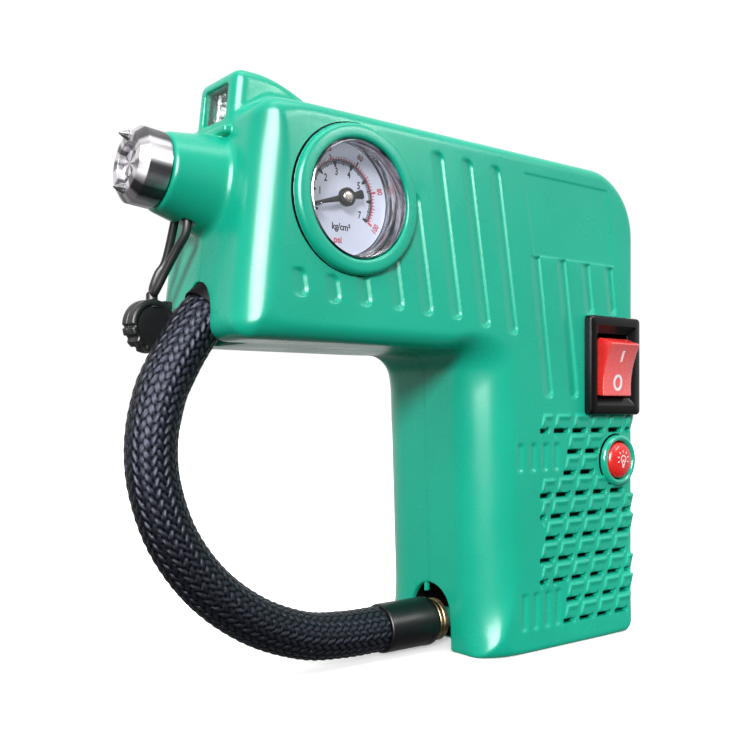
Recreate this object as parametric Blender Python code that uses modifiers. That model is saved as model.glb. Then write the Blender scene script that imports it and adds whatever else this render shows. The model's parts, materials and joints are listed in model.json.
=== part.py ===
"""Hand-held cordless air pump: an L-shaped casing of two shells with a pressure gauge, a lamp, a
hammer tip on its snout and a braided hose whose end is parked in the foot of the grip column.

Frame: millimetres below, metres in the scene. Origin at the centre of the base's flat face,
+Z up, the nose towards -X, the gauge side towards -Y. The shells meet on the plane Y = 0.
"""

import math

import bmesh
import bpy
from mathutils import Matrix, Vector

MM = 0.001
GAP = 0.3  # between touching pieces

# Casing
HALF_WIDTH = 25.0
TOP = 148.0
UNDERSIDE = 89.0  # of the barrel
REAR = 33.5
COLUMN_FRONT = (-33.0, -36.5)  # at the base, at the barrel
COLUMN_HALF_WIDTH = 24.7
COLUMN_REAR = 33.2
NOSE_AT_TOP = -107.0
NOSE_LEAN = 0.11  # forward per millimetre down
WALL = 2.2
JOIN_Z = 96.0  # the column's block runs up into the barrel's to here

# Snout and hammer tip, on an axis square to the leaning nose face
SNOUT_Z = 129.3
SNOUT_LENGTH = 14.2
SNOUT_RADII = (12.8, 9.9)
TIP_RADIUS = 9.55
TIP_FRONT = 22.4  # along the snout's axis
SPIKE_OFFSET = 6.6

# Lamp hood on the nose
HOOD_HALF_WIDTH = 10.5
HOOD_LOW, HOOD_TOP = 141.5, 158.0
LAMP_HALF_WIDTH = 6.2
LAMP_LOW, LAMP_HIGH = 145.4, 154.8

# Pressure gauge
GAUGE = (-80.3, 125.3)  # X, Z of the window's axis
MOVEMENT = (-80.3, 126.8)  # X, Z of the needle's axis
GAUGE_WINDOW = 15.3
GAUGE_RING = 19.2
NEEDLE_REST = math.radians(193)  # counter-clockwise from +X, seen from the gauge side

# Rocker switch and lamp button
SWITCH = (20.5, 86.0)
SWITCH_SIZE = (24.6, 31.0)
ROCKER_PIVOT_Y = -23.5
ROCKER_TILT = math.radians(12)
BUTTON = (24.0, 56.0)
BUTTON_RADIUS = 5.7

# Air vents: slots on a slanting lattice
VENT_TOP_Z = 65.7
VENT_ROW = 6.47
VENT_ROWS = 10
VENT_PITCH = 8.6
VENT_SLOT = 6.0
VENT_FIRST = -5.45  # front of the top row's first full slot
VENT_SHIFT = 2.5  # towards the front per row down
VENT_FRONT, VENT_REAR = -11.5, 30.8
VENT_SHORT_ROWS = (1, 2, 8, 9)  # they start behind the finger grooves
VENT_SHORT_FRONT = -0.9
VENT_TO_BUTTON = 9.4  # no slot is nearer to the button's axis

# Hose and its parked end
HOSE_OD = 13.0
HOSE_ROUTE = [
    (-105.4, 99.6),
    (-111.1, 95.0),
    (-115.8, 88.6),
    (-119.6, 82.0),
    (-122.7, 75.0),
    (-124.8, 63.8),
    (-123.7, 52.0),
    (-118.5, 38.5),
    (-108.7, 26.0),
    (-95.2, 16.2),
    (-80.0, 10.2),
    (-66.5, 8.5),
    (-53.9, 8.3),
]
CHUCK_Z = 8.3
SLEEVE = (-53.6, -35.1)
COLLAR = (-34.8, -31.1)
POST_START = -39.5
NOTCH_HALF_WIDTH = 8.7
NOTCH_TOP = 19.6
NOTCH_REAR = -21.5

# Tether and cap
TETHER_X = -116.0
TETHER_ANCHORS = ((-1.7, 118.0), (5.4, 119.3))  # Y, Z of its two strands at the snout
CAP_CENTRE = (-120.6, 9.8, 93.4)
CAP_RADIUS = 6.8
CAP_AXIS = (0.17, -0.985, 0.0)

# Drive train
MOTOR_X = -18.0
MOTOR_RADIUS = 12.2
MOTOR_Z = (66.0, 97.0)
MODULE = 0.6
PINION_TEETH, GEAR_TEETH = 10, 46
CRANK_X = MOTOR_X + MODULE * (PINION_TEETH + GEAR_TEETH) / 2
CRANK_RADIUS = 4.0
PLATE_Z = (97.3, 99.2)
GEAR_Z = (101.5, 104.5)
ROD_Z = 111.0
BORE_RADIUS = 9.0
CYLINDER = (-58.0, -36.0)
PISTON = (-40.5, -34.0)

# Power
CELL_RADIUS, CELL_Z = 9.2, (5.0, 70.0)
CELL_X = (0.7, 19.9)
CELL_Y = 12.0
JACK = (-16.8, 20.0)  # Y, Z

SCREWS = [(-95, 140), (-88, 96), (-50, 140), (22, 139), (-20, 50), (-15, 9)]  # X, Z
POST_RADIUS = 3.2


def nose_x(z):
    """The nose face's X at this height."""
    return NOSE_AT_TOP - (TOP - z) * NOSE_LEAN


SNOUT_BASE = Vector((nose_x(SNOUT_Z), 0, SNOUT_Z))
SNOUT_AXIS = Vector((-1, 0, NOSE_LEAN)).normalized()
HOSE_EXIT_AXIS = Vector((-0.77, 0, -0.638)).normalized()


# ---------------------------------------------------------------- scene and materials


def clear_scene():
    for obj in list(bpy.data.objects):
        bpy.data.objects.remove(obj, do_unlink=True)


def new_collection(name):
    collection = bpy.data.collections.new(name)
    bpy.context.scene.collection.children.link(collection)
    return collection


clear_scene()
PARTS = new_collection("hand_air_pump")
CUTTERS = new_collection("cutters")
CUTTERS.hide_render = True

FINISHES = {  # colour, roughness, metallic
    "green_plastic": ((0.02, 0.46, 0.30), 0.3, 0.0),
    "black_plastic": ((0.015, 0.015, 0.017), 0.4, 0.0),
    "red_plastic": ((0.75, 0.02, 0.02), 0.3, 0.0),
    "white_plastic": ((0.8, 0.8, 0.82), 0.5, 0.0),
    "board_green": ((0.02, 0.2, 0.05), 0.5, 0.0),
    "rubber": ((0.02, 0.02, 0.02), 0.7, 0.0),
    "braid": ((0.02, 0.02, 0.03), 0.6, 0.0),
    "clear": ((0.9, 0.95, 0.95), 0.05, 0.0),
    "aluminium": ((0.75, 0.75, 0.77), 0.3, 1.0),
    "steel": ((0.6, 0.6, 0.62), 0.35, 1.0),
    "brass": ((0.8, 0.6, 0.3), 0.3, 1.0),
    "cell_wrap": ((0.1, 0.25, 0.6), 0.5, 0.0),
    "wire_red": ((0.6, 0.03, 0.03), 0.5, 0.0),
}


def material_for(name, finish):
    colour, roughness, metallic = FINISHES[finish]
    material = bpy.data.materials.new(name + "_" + finish)
    material.use_nodes = True
    shader = material.node_tree.nodes["Principled BSDF"]
    shader.inputs["Base Color"].default_value = (*colour, 1)
    shader.inputs["Roughness"].default_value = roughness
    shader.inputs["Metallic"].default_value = metallic
    material.diffuse_color = (*colour, 1)
    return material


# ---------------------------------------------------------------- making objects


def place(name, data, finish, collection=PARTS):
    obj = bpy.data.objects.new(name, data)
    collection.objects.link(obj)
    if collection is CUTTERS:
        obj.hide_render = True
        obj.display_type = "WIRE"
    else:
        data.materials.append(material_for(name, finish))
    return obj


def from_bmesh(name, bm, finish, collection=PARTS):
    bmesh.ops.recalc_face_normals(bm, faces=bm.faces)
    mesh = bpy.data.meshes.new(name)
    bm.to_mesh(mesh)
    bm.free()
    mesh.shade_smooth()
    mesh.set_sharp_from_angle(angle=math.radians(35))
    return place(name, mesh, finish, collection)


def add_box(bm, low, high):
    low, high = Vector(low), Vector(high)
    size = Matrix.Diagonal((*((high - low) * MM), 1))
    bmesh.ops.create_cube(bm, size=1, matrix=Matrix.Translation((low + high) / 2 * MM) @ size)


def add_rod(bm, start, end, radius, sides=24, end_radius=None):
    start, end = Vector(start), Vector(end)
    along = end - start
    turn = along.to_track_quat("Z", "Y").to_matrix().to_4x4()
    bmesh.ops.create_cone(
        bm,
        cap_ends=True,
        segments=sides,
        radius1=radius * MM,
        radius2=(radius if end_radius is None else end_radius) * MM,
        depth=along.length * MM,
        matrix=Matrix.Translation((start + end) / 2 * MM) @ turn,
    )


def box(name, low, high, finish="", collection=PARTS, bevel=0.0):
    bm = bmesh.new()
    add_box(bm, low, high)
    obj = from_bmesh(name, bm, finish, collection)
    if bevel:
        modifier = obj.modifiers.new("edges", "BEVEL")
        modifier.width = bevel * MM
        modifier.segments = 2
    return obj


def rod(name, start, end, radius, finish="", collection=PARTS, sides=24, end_radius=None):
    bm = bmesh.new()
    add_rod(bm, start, end, radius, sides, end_radius)
    return from_bmesh(name, bm, finish, collection)


def block(name, corners, half_width, rounding, side_radius=0.0):
    """A prism between Y = -half_width and +half_width. corners: low front, low rear, top rear, top
    front, as X, Z. rounding: the radius of each corner's edge along Y, by the corner's name, and
    under "front" and "rear" that of the upright edges. side_radius rounds all of the side rims."""
    names = ("low_front", "low_rear", "top_rear", "top_front")
    bm = bmesh.new()
    bmesh.ops.create_cube(bm, size=2)
    corner_of = {}
    for vertex in bm.verts:
        x, y, z = (1 if c > 0 else -1 for c in vertex.co)
        corner_of[vertex] = {(-1, -1): 0, (1, -1): 1, (1, 1): 2, (-1, 1): 3}[(x, z)]
        across, up = corners[corner_of[vertex]]
        vertex.co = Vector((across, y * half_width, up)) * MM
    weight = bm.edges.layers.float.new("bevel_weight_edge")
    widest = max(rounding.values())
    for edge in bm.edges:
        a, b = sorted(corner_of[vertex] for vertex in edge.verts)
        which = names[a] if a == b else {(0, 3): "front", (1, 2): "rear"}.get((a, b))
        edge[weight] = rounding.get(which, 0) / widest
    obj = from_bmesh(name, bm, "", CUTTERS)
    modifier = obj.modifiers.new("rounding", "BEVEL")
    modifier.limit_method = "WEIGHT"
    modifier.width = widest * MM
    modifier.segments = 4
    if side_radius:
        rims = obj.modifiers.new("rims", "BEVEL")
        rims.limit_method = "ANGLE"
        rims.angle_limit = math.radians(50)
        rims.width = side_radius * MM
        rims.segments = 2
    return obj


def turned(name, profile, base, axis, finish="", collection=PARTS, steps=32, ring=False):
    """A turned solid. profile: (radius, height along axis) pairs down its outer side; a ring's
    profile closes on itself and any other's ends lie on the axis."""
    mesh = bpy.data.meshes.new(name)
    points = [(r * MM, 0, h * MM) for r, h in profile]
    count = len(points)
    edges = [(i, (i + 1) % count) for i in range(count if ring else count - 1)]
    mesh.from_pydata(points, edges, [])
    obj = place(name, mesh, finish, collection)
    obj.location = Vector(base) * MM
    obj.rotation_euler = Vector(axis).to_track_quat("Z", "Y").to_euler()
    screw = obj.modifiers.new("turn", "SCREW")
    screw.steps = screw.render_steps = steps
    screw.use_merge_vertices = True
    screw.merge_threshold = 0.00001
    return obj


def tube(name, points, diameter, finish, resolution=2):
    curve = bpy.data.curves.new(name, "CURVE")
    curve.dimensions = "3D"
    curve.bevel_depth = diameter / 2 * MM
    curve.bevel_resolution = resolution
    curve.use_fill_caps = True
    spline = curve.splines.new("POLY")
    spline.points.add(len(points) - 1)
    for point, place_at in zip(spline.points, points):
        point.co = (*(Vector(place_at) * MM), 1)
    return place(name, curve, finish)


def smooth_route(route, spacing):
    """Points along a Catmull-Rom curve through route, about spacing apart."""
    points = [Vector(point) for point in route]
    points = [2 * points[0] - points[1], *points, 2 * points[-1] - points[-2]]
    found = []
    for a, b, c, d in zip(points, points[1:], points[2:], points[3:]):
        steps = max(1, round((c - b).length / spacing))
        for i in range(steps):
            t = i / steps
            found.append(
                0.5 * (2 * b + (c - a) * t + (2 * a - 5 * b + 4 * c - d) * t**2)
                + 0.5 * (3 * b - a - 3 * c + d) * t**3
            )
    return [*found, points[-2]]


def flat_outline(name, outline, thickness, finish="", collection=PARTS):
    """An outline in its own XY plane, thickness deep about that plane, as a mesh."""
    curve = bpy.data.curves.new(name, "CURVE")
    curve.dimensions = "2D"
    curve.fill_mode = "BOTH"
    curve.extrude = thickness / 2 * MM
    spline = curve.splines.new("POLY")
    spline.points.add(len(outline) - 1)
    for point, (x, y) in zip(spline.points, outline):
        point.co = (x * MM, y * MM, 0, 1)
    spline.use_cyclic_u = True
    guide = bpy.data.objects.new(name + "_outline", curve)
    CUTTERS.objects.link(guide)
    guide.hide_render = True
    bpy.context.view_layer.update()
    graph = bpy.context.evaluated_depsgraph_get()
    mesh = bpy.data.meshes.new_from_object(guide.evaluated_get(graph))
    bpy.data.objects.remove(guide, do_unlink=True)
    bm = bmesh.new()
    bm.from_mesh(mesh)
    bpy.data.meshes.remove(mesh)
    bmesh.ops.remove_doubles(bm, verts=bm.verts, dist=1e-6)
    return from_bmesh(name, bm, finish, collection)


def combine(obj, other, operation):
    modifier = obj.modifiers.new(operation.lower(), "BOOLEAN")
    modifier.operation = operation
    modifier.object = other
    modifier.solver = "EXACT"


def cut(obj, *cutters):
    for cutter in cutters:
        combine(obj, cutter, "DIFFERENCE")


def join(obj, *others):
    for other in others:
        combine(obj, other, "UNION")


# ---------------------------------------------------------------- casing


def snout_at(height, radius=0.0):
    """A point this far along the snout's axis, and this far towards +Z square to it."""
    across = Vector((SNOUT_AXIS.z, 0, -SNOUT_AXIS.x))
    return SNOUT_BASE + SNOUT_AXIS * height + across * radius


def casing_form(name, inset):
    """The casing's outer form, or its hollow when inset by the wall."""
    barrel_corners = [
        (nose_x(UNDERSIDE + inset) + inset, UNDERSIDE + inset),
        (REAR - inset, UNDERSIDE + inset),
        (REAR - inset, TOP - inset),
        (nose_x(TOP - inset) + inset, TOP - inset),
    ]
    barrel = block(
        name,
        barrel_corners,
        HALF_WIDTH - inset,
        {"low_front": 5 - inset, "top_rear": 20 - inset, "top_front": 4 - inset},
        side_radius=3 - inset / 2,
    )
    nose_plan = block(
        name + "_nose_plan",
        [
            (nose_x(0) + inset, 0),
            (REAR + 40, 0),
            (REAR + 40, TOP + 30),
            (nose_x(TOP + 30) + inset, TOP + 30),
        ],
        HALF_WIDTH - inset + 0.01,
        {"front": 9 - inset},
    )
    combine(barrel, nose_plan, "INTERSECT")
    low, high = COLUMN_FRONT
    column = block(
        name + "_column",
        [
            (low + inset, inset),
            (COLUMN_REAR - inset, inset),
            (COLUMN_REAR - inset, JOIN_Z),
            (high + inset, JOIN_Z),
        ],
        COLUMN_HALF_WIDTH - inset,
        {"front": 14 - inset, "rear": 2.5 - inset / 2},
    )
    foot_plan = block(
        name + "_foot_plan",
        [
            (low - 30, inset - 0.01),
            (COLUMN_REAR - inset, inset - 0.01),
            (COLUMN_REAR - inset, JOIN_Z + 30),
            (low - 30, JOIN_Z + 30),
        ],
        COLUMN_HALF_WIDTH + 10,
        {"low_rear": 5 - inset},
    )
    combine(column, foot_plan, "INTERSECT")
    hood = block(
        name + "_hood",
        [
            (nose_x(HOOD_LOW) - 0.7 + inset, HOOD_LOW),
            (-72 - inset, HOOD_LOW),
            (-88 - inset, HOOD_TOP - inset),
            (nose_x(HOOD_TOP) + inset, HOOD_TOP - inset),
        ],
        HOOD_HALF_WIDTH - inset,
        {"top_rear": 8, "top_front": 2.2 - inset / 2},
        side_radius=3 - inset / 2,
    )
    wide, narrow = (radius - inset for radius in SNOUT_RADII)
    snout = rod(
        name + "_snout",
        snout_at(-6),
        snout_at(SNOUT_LENGTH + (1 if inset else 0)),
        wide + 1.2,
        collection=CUTTERS,
        sides=32,
        end_radius=narrow,
    )
    join(barrel, column, hood, snout)
    return barrel


def vent_slots():
    """(front, rear, z) of each slot."""
    for row in range(VENT_ROWS):
        z = VENT_TOP_Z - row * VENT_ROW
        front = VENT_SHORT_FRONT if row in VENT_SHORT_ROWS else VENT_FRONT
        for column in range(-2, 8):
            start = VENT_FIRST + column * VENT_PITCH - row * VENT_SHIFT
            low, high = max(start, front), min(start + VENT_SLOT, VENT_REAR)
            near_button = math.hypot((low + high) / 2 - BUTTON[0], z - BUTTON[1]) < VENT_TO_BUTTON
            if high - low > 1.2 and not near_button:
                yield low, high, z


def vent_cutter():
    bm = bmesh.new()
    for low, high, z in vent_slots():
        add_box(bm, (low, -HALF_WIDTH - 1, z - 0.4), (high, -HALF_WIDTH + WALL + 1, z + 0.4))
    return from_bmesh("vent_cutter", bm, "", CUTTERS)


def post_form(name, radius, y_from, y_to, sides=12):
    bm = bmesh.new()
    for x, z in SCREWS:
        add_rod(bm, (x, y_from, z), (x, y_to, z), radius, sides)
    return from_bmesh(name, bm, "", CUTTERS)


def notch_form():
    """The arched notch in the column's foot where the hose's end is parked."""
    bm = bmesh.new()
    spring_z = NOTCH_TOP - NOTCH_HALF_WIDTH
    add_box(
        bm, (-45, -NOTCH_HALF_WIDTH, -2), (NOTCH_REAR, NOTCH_HALF_WIDTH, spring_z)
    )
    notch = from_bmesh("notch", bm, "", CUTTERS)
    arch = rod(
        "notch_arch",
        (-45.1, 0, spring_z),
        (NOTCH_REAR - 0.01, 0, spring_z),
        NOTCH_HALF_WIDTH,
        collection=CUTTERS,
    )
    join(notch, arch)
    return notch


def port_form():
    """The arched port in the nose's lower front edge where the hose leaves."""
    start = Vector((HOSE_ROUTE[0][0], 0, HOSE_ROUTE[0][1]))
    port = rod(
        "port",
        start - HOSE_EXIT_AXIS * 2,
        start + HOSE_EXIT_AXIS * 30,
        7.4,
        collection=CUTTERS,
    )
    below = box("port_below", (-121, -7.3, 82), (-102, 7.3, 96.5), collection=CUTTERS)
    join(port, below)
    return port


def shell(name, side, form, hollow, openings):
    """One half of the casing: side is -1 for the gauge's half and +1 for the other."""
    near, far = sorted((side * GAP / 2, side * 60))
    half = box(name, (-200, near, -10), (100, far, 220), "green_plastic")
    combine(half, form, "INTERSECT")
    cut(half, hollow)
    wall_y = side * (HALF_WIDTH - WALL / 2)
    posts = post_form(name + "_posts", POST_RADIUS, wall_y, side * GAP / 2)
    inner, outer = sorted((side * GAP / 2, side * 10.3))
    pocket = box(
        name + "_pocket",
        (COLUMN_FRONT[0] + 0.6, inner, 0.4),
        (NOTCH_REAR + 1.8, outer, NOTCH_TOP + 1.8),
        collection=CUTTERS,
    )
    join(half, posts, pocket)
    cut(half, *openings)
    half.data.shade_smooth()
    return half


def casing():
    form = casing_form("casing_form", 0)
    lip = box("lamp_lip", (-109.6, -9.2, 140.6), (-104, 9.2, 142.8), collection=CUTTERS, bevel=0.6)
    join(form, lip)
    hollow = casing_form("casing_hollow", WALL)
    lamp_hole = box(
        "lamp_hole",
        (-115, -LAMP_HALF_WIDTH, LAMP_LOW),
        (-96.5, LAMP_HALF_WIDTH, LAMP_HIGH),
        collection=CUTTERS,
    )
    base_hole = box("base_hole", (-19.3, -20.3, -1), (29.8, 20.3, WALL + 1), collection=CUTTERS)
    shared = (lamp_hole, port_form(), notch_form(), base_hole)

    ring = turned(
        "gauge_ring",
        [(GAUGE_RING - 0.9, 3), (GAUGE_RING, 2), (GAUGE_RING, 0), (GAUGE_WINDOW, 0), (GAUGE_WINDOW, 3)],
        (GAUGE[0], -HALF_WIDTH + 1, GAUGE[1]),
        (0, -1, 0),
        collection=CUTTERS,
        steps=40,
        ring=True,
    )
    gauge_hole = rod(
        "gauge_hole",
        (GAUGE[0], -HALF_WIDTH - 1, GAUGE[1]),
        (GAUGE[0], -HALF_WIDTH + WALL + 1, GAUGE[1]),
        GAUGE_WINDOW,
        collection=CUTTERS,
        sides=40,
    )
    switch_hole = box(
        "switch_hole",
        (9.8, -HALF_WIDTH - 1, 72.1),
        (31.0, -HALF_WIDTH + WALL + 1, 99.9),
        collection=CUTTERS,
    )
    button_hole = rod(
        "button_hole",
        (BUTTON[0], -HALF_WIDTH - 1, BUTTON[1]),
        (BUTTON[0], -HALF_WIDTH + WALL + 1, BUTTON[1]),
        7.3,
        collection=CUTTERS,
    )
    jack_hole = rod(
        "jack_hole", (28, JACK[0], JACK[1]), (36, JACK[0], JACK[1]), 4.3, collection=CUTTERS
    )
    pilot_holes = post_form("pilot_holes", 1.4, -11, 1, 8)
    left = shell(
        "shell_left",
        -1,
        form,
        hollow,
        (*shared, gauge_hole, switch_hole, button_hole, jack_hole, pilot_holes, vent_cutter()),
    )
    join(left, ring)
    head_holes = post_form("head_holes", 2.9, HALF_WIDTH - 6, HALF_WIDTH + 1)
    shank_holes = post_form("shank_holes", 1.5, -1, HALF_WIDTH - 3, 8)
    shell("shell_right", 1, form, hollow, (*shared, head_holes, shank_holes))

    box("base_cover", (-19, -20, 0), (29.5, 20, WALL), "green_plastic")
    for number, (x, z) in enumerate(SCREWS, 1):
        name = f"screw_{number}"
        screw = rod(name, (x, HALF_WIDTH - 5.7, z), (x, HALF_WIDTH - 4, z), 2.5, "steel", sides=12)
        shank = rod(
            name + "_shank", (x, -8, z), (x, HALF_WIDTH - 5, z), 1.1, collection=CUTTERS, sides=8
        )
        join(screw, shank)


# ---------------------------------------------------------------- nose


def nose_fittings():
    front, low, high = 6.2 - GAP, LAMP_LOW + GAP, LAMP_HIGH - GAP
    box("lamp_lens", (-106.6, -front, low), (-104.0, front, high), "clear", bevel=0.4)
    reflector = box("lamp_reflector", (-103.7, -front, low), (-99.0, front, high), "aluminium")
    dish = rod(
        "reflector_dish", (-104, 0, 150.1), (-99.8, 0, 150.1), 4.2, collection=CUTTERS, end_radius=1.4
    )
    cut(reflector, dish)
    box("lamp_board", (-98.7, -front, low), (-97.6, front, high), "board_green")

    turned(
        "hammer_tip",
        [
            (0, 21.5),
            (3.2, 21.5),
            (3.4, 20.6),
            (5.0, 20.6),
            (5.2, TIP_FRONT),
            (7.8, TIP_FRONT),
            (TIP_RADIUS, 20.5),
            (TIP_RADIUS, SNOUT_LENGTH + 0.4),
            (7.2, SNOUT_LENGTH + 0.4),
            (7.2, 8),
            (0, 8),
        ],
        SNOUT_BASE,
        SNOUT_AXIS,
        "aluminium",
    )
    for name, radius in (("hammer_spike_upper", SPIKE_OFFSET), ("hammer_spike_lower", -SPIKE_OFFSET)):
        start, end = snout_at(TIP_FRONT + 0.1, radius), snout_at(TIP_FRONT + 2.9, radius)
        rod(name, start, end, 1.45, "steel", sides=8, end_radius=0.25)


def tether():
    """The rubber loop from the snout to the cap, and the cap."""
    (near_y, near_z), (far_y, far_z) = TETHER_ANCHORS
    x, y, z = CAP_CENTRE
    route = [
        (TETHER_X, near_y, near_z - 0.1),
        (TETHER_X - 0.2, near_y + 0.7, near_z - 2.3),
        (TETHER_X - 1.2, near_y + 3.3, near_z - 5.8),
        (TETHER_X - 2.7, near_y + 6.6, near_z - 11.0),
        (TETHER_X - 3.9, y - 2.6, z + 9.5),
        (TETHER_X - 4.2, y - 1.5, z + 8.4),
        (TETHER_X - 3.8, y - 0.2, z + 9.8),
        (TETHER_X - 2.2, far_y + 4.6, far_z - 12.3),
        (TETHER_X - 0.6, far_y + 3.5, far_z - 8.9),
        (TETHER_X, far_y, far_z),
    ]
    tube("tether_strap", smooth_route(route, 1.8), 2.2, "rubber")
    axis = Vector(CAP_AXIS).normalized()
    cap = turned(
        "tether_cap",
        [
            (0, 2.6),
            (CAP_RADIUS - 0.8, 2.6),
            (CAP_RADIUS, 1.9),
            (CAP_RADIUS, -2.4),
            (4.9, -2.4),
            (4.9, 0.4),
            (0, 0.4),
        ],
        CAP_CENTRE,
        axis,
        "rubber",
        steps=24,
    )
    lug = rod(
        "cap_lug", (x + 0.4, y - 0.4, z + 5), (x + 0.4, y - 0.4, z + 7), 1.5, collection=CUTTERS, sides=12
    )
    join(cap, lug)


# ---------------------------------------------------------------- gauge


def gauge():
    x, z = MOVEMENT
    facing = (0, -1, 0)  # heights below run from Y = 0 towards the gauge side
    centre = (x, 0, z)
    window_centre = (GAUGE[0], 0, GAUGE[1])
    turned(
        "gauge_case",
        [(0, 12.5), (15.1, 12.5), (15.1, 22.2), (16.0, 22.2), (16.0, 11), (0, 11)],
        centre,
        facing,
        "steel",
    )
    turned(
        "gauge_bezel",
        [(14.4, 26.6), (15.0, 26.4), (15.0, 22.8), (14.1, 22.8), (14.1, 26.4)],
        window_centre,
        facing,
        "aluminium",
        steps=40,
        ring=True,
    )
    turned(
        "gauge_dial",
        [(14.8, 18.2), (14.8, 17.7), (0.9, 17.7), (0.9, 18.2)],
        centre,
        facing,
        "white_plastic",
        ring=True,
    )
    turned(
        "gauge_lens",
        [(0, 26.3), (13.8, 26.2), (13.8, 25.6), (0, 25.6)],
        window_centre,
        facing,
        "clear",
    )
    needle = flat_outline(
        "gauge_needle",
        [
            (-4.6, -1.0),
            (-2.6, -1.0),
            (0, -0.7),
            (10.6, -0.15),
            (10.6, 0.15),
            (0, 0.7),
            (-2.6, 1.0),
            (-4.6, 1.0),
        ],
        0.4,
        "black_plastic",
    )
    needle.location = Vector((x, -20.3, z)) * MM
    stand_up = Matrix.Rotation(math.radians(90), 4, "X")
    turn = Matrix.Rotation(-NEEDLE_REST, 4, "Y")
    needle.rotation_euler = (turn @ stand_up).to_euler()
    hub = rod("needle_hub", (x, -21.5, z), (x, -19.4, z), 1.9, collection=CUTTERS, sides=20)
    shaft = rod("needle_shaft", (x, -20.0, z), (x, -16.6, z), 0.6, collection=CUTTERS, sides=10)
    join(needle, hub, shaft)

    arc = [math.radians(-60 + 25 * i) for i in range(11)]
    route = [(x + 10 * math.cos(a), -14.6, z + 10 * math.sin(a)) for a in arc]
    tube("bourdon_tube", route, 2.6, "brass")
    rod("gauge_stem", (x, -10.7, z), (x, -4.8, z), 3.0, "brass", sides=16)


# ---------------------------------------------------------------- switch and button


def switch():
    x, z = SWITCH
    width, height = (side / 2 for side in SWITCH_SIZE)
    housing = box(
        "switch_housing", (x - width, -28, z - height), (x + width, -25.3, z + height), "black_plastic"
    )
    body = box("switch_body", (10.2, -26, 72.5), (30.6, -6, 99.5), collection=CUTTERS)
    cavity = box("switch_cavity", (x - 7.4, -29, z - 10), (x + 7.4, -12, z + 10), collection=CUTTERS)
    join(housing, body)
    cut(housing, cavity)

    front = [(-5.6 - 1.2 * (i / 4) ** 2, 2.1 * i) for i in range(-4, 5)]
    outline = [*front, (-1.2, 9.2), (2.6, 3.5), (2.6, -3.5), (-1.2, -9.2)]
    rocker = flat_outline("rocker", outline, 14.0, "red_plastic")
    rocker.location = Vector((x, ROCKER_PIVOT_Y, z)) * MM
    # Its outline's first axis becomes Y and its second Z, and the O end is pressed in.
    stand_up = Matrix(((0, 0, 1, 0), (1, 0, 0, 0), (0, 1, 0, 0), (0, 0, 0, 1)))
    rocker.rotation_euler = (Matrix.Rotation(ROCKER_TILT, 4, "X") @ stand_up).to_euler()


def lamp_button():
    x, z = BUTTON
    facing = (0, -1, 0)
    turned(
        "button_collar",
        [
            (6.1, 26.2),
            (6.6, 26.9),
            (7.4, 26.9),
            (8.1, 26.2),
            (8.1, 25.3),
            (7.0, 25.3),
            (7.0, 22.5),
            (6.1, 22.5),
        ],
        (x, 0, z),
        facing,
        "green_plastic",
        steps=28,
        ring=True,
    )
    turned(
        "lamp_button",
        [
            (0, 27.9),
            (3.2, 27.7),
            (5.0, 27.2),
            (BUTTON_RADIUS, 26.2),
            (BUTTON_RADIUS, 22.1),
            (6.5, 22.1),
            (6.5, 21.1),
            (2.0, 21.1),
            (2.0, 17.0),
            (0, 17.0),
        ],
        (x, 0, z),
        facing,
        "red_plastic",
        steps=24,
    )
    box("button_switch", (x - 3, -15.2, z - 3), (x + 3, -12.3, z + 3), "black_plastic")


# ---------------------------------------------------------------- power


def power():
    box("control_board", (-4, -12, 8), (29, -10.4, 66), "board_green")
    for name, x in zip(("cell_front", "cell_rear"), CELL_X):
        rod(name, (x, CELL_Y, CELL_Z[0]), (x, CELL_Y, CELL_Z[1]), CELL_RADIUS, "cell_wrap", sides=28)
    holder = box("cell_holder", (-9.5, 0.9, 2.6), (28.5, 21.5, 4.6), "black_plastic")
    spine = box("holder_spine", (2, 0.9, 3), (26, 2.4, 72), collection=CUTTERS)
    cap = box("holder_cap", (-3, 0.9, 70.4), (29.8, 21.4, 72.4), collection=CUTTERS)
    join(holder, spine, cap)

    y, z = JACK
    jack = box("dc_jack", (22, y - 4.4, z - 4.5), (30.8, y + 4.4, z + 4.5), "black_plastic")
    barrel = rod("jack_barrel", (30, y, z), (33.8, y, z), 4.0, collection=CUTTERS, sides=20)
    mouth = rod("jack_mouth", (24, y, z), (35, y, z), 2.75, collection=CUTTERS, sides=20)
    pin = rod("jack_pin", (23.5, y, z), (32.5, y, z), 0.8, collection=CUTTERS, sides=8)
    join(jack, barrel)
    cut(jack, mouth)
    join(jack, pin)

    lamp_route = [
        (-96.6, 0, 150),
        (-92, 2, 148),
        (-87, 5, 143.5),
        (-82, 10, 139),
        (-74, 14, 135),
        (-60, 16, 131),
        (-30, 16, 130),
        (0, 16, 126),
        (10, 16, 112),
        (10.3, 14.5, 90),
        (10.3, 13, 73.5),
    ]
    tube("lamp_lead", smooth_route(lamp_route, 7.0), 1.6, "wire_red")
    motor_route = [(-18, 0, 61.5), (-14, -2, 57), (-10, -6, 50), (-7, -9.5, 42), (-5.1, -11.2, 36)]
    tube("motor_lead", smooth_route(motor_route, 5.0), 1.6, "wire_red")


# ---------------------------------------------------------------- drive and air path


def gear_outline(teeth, tip_width=0.2):
    """A spur gear's outline, with the first tooth on +X. tip_width is a part of the pitch."""
    pitch_radius = MODULE * teeth / 2
    root, tip = pitch_radius - 1.0 * MODULE, pitch_radius + 0.8 * MODULE
    pitch = 2 * math.pi / teeth
    outline = []
    for tooth in range(teeth):
        corners = ((root, -0.3), (tip, -tip_width / 2), (tip, tip_width / 2), (root, 0.3))
        outline += [(radius, (tooth + side) * pitch) for radius, side in corners]
    return [(radius * math.cos(angle), radius * math.sin(angle)) for radius, angle in outline]


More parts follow.
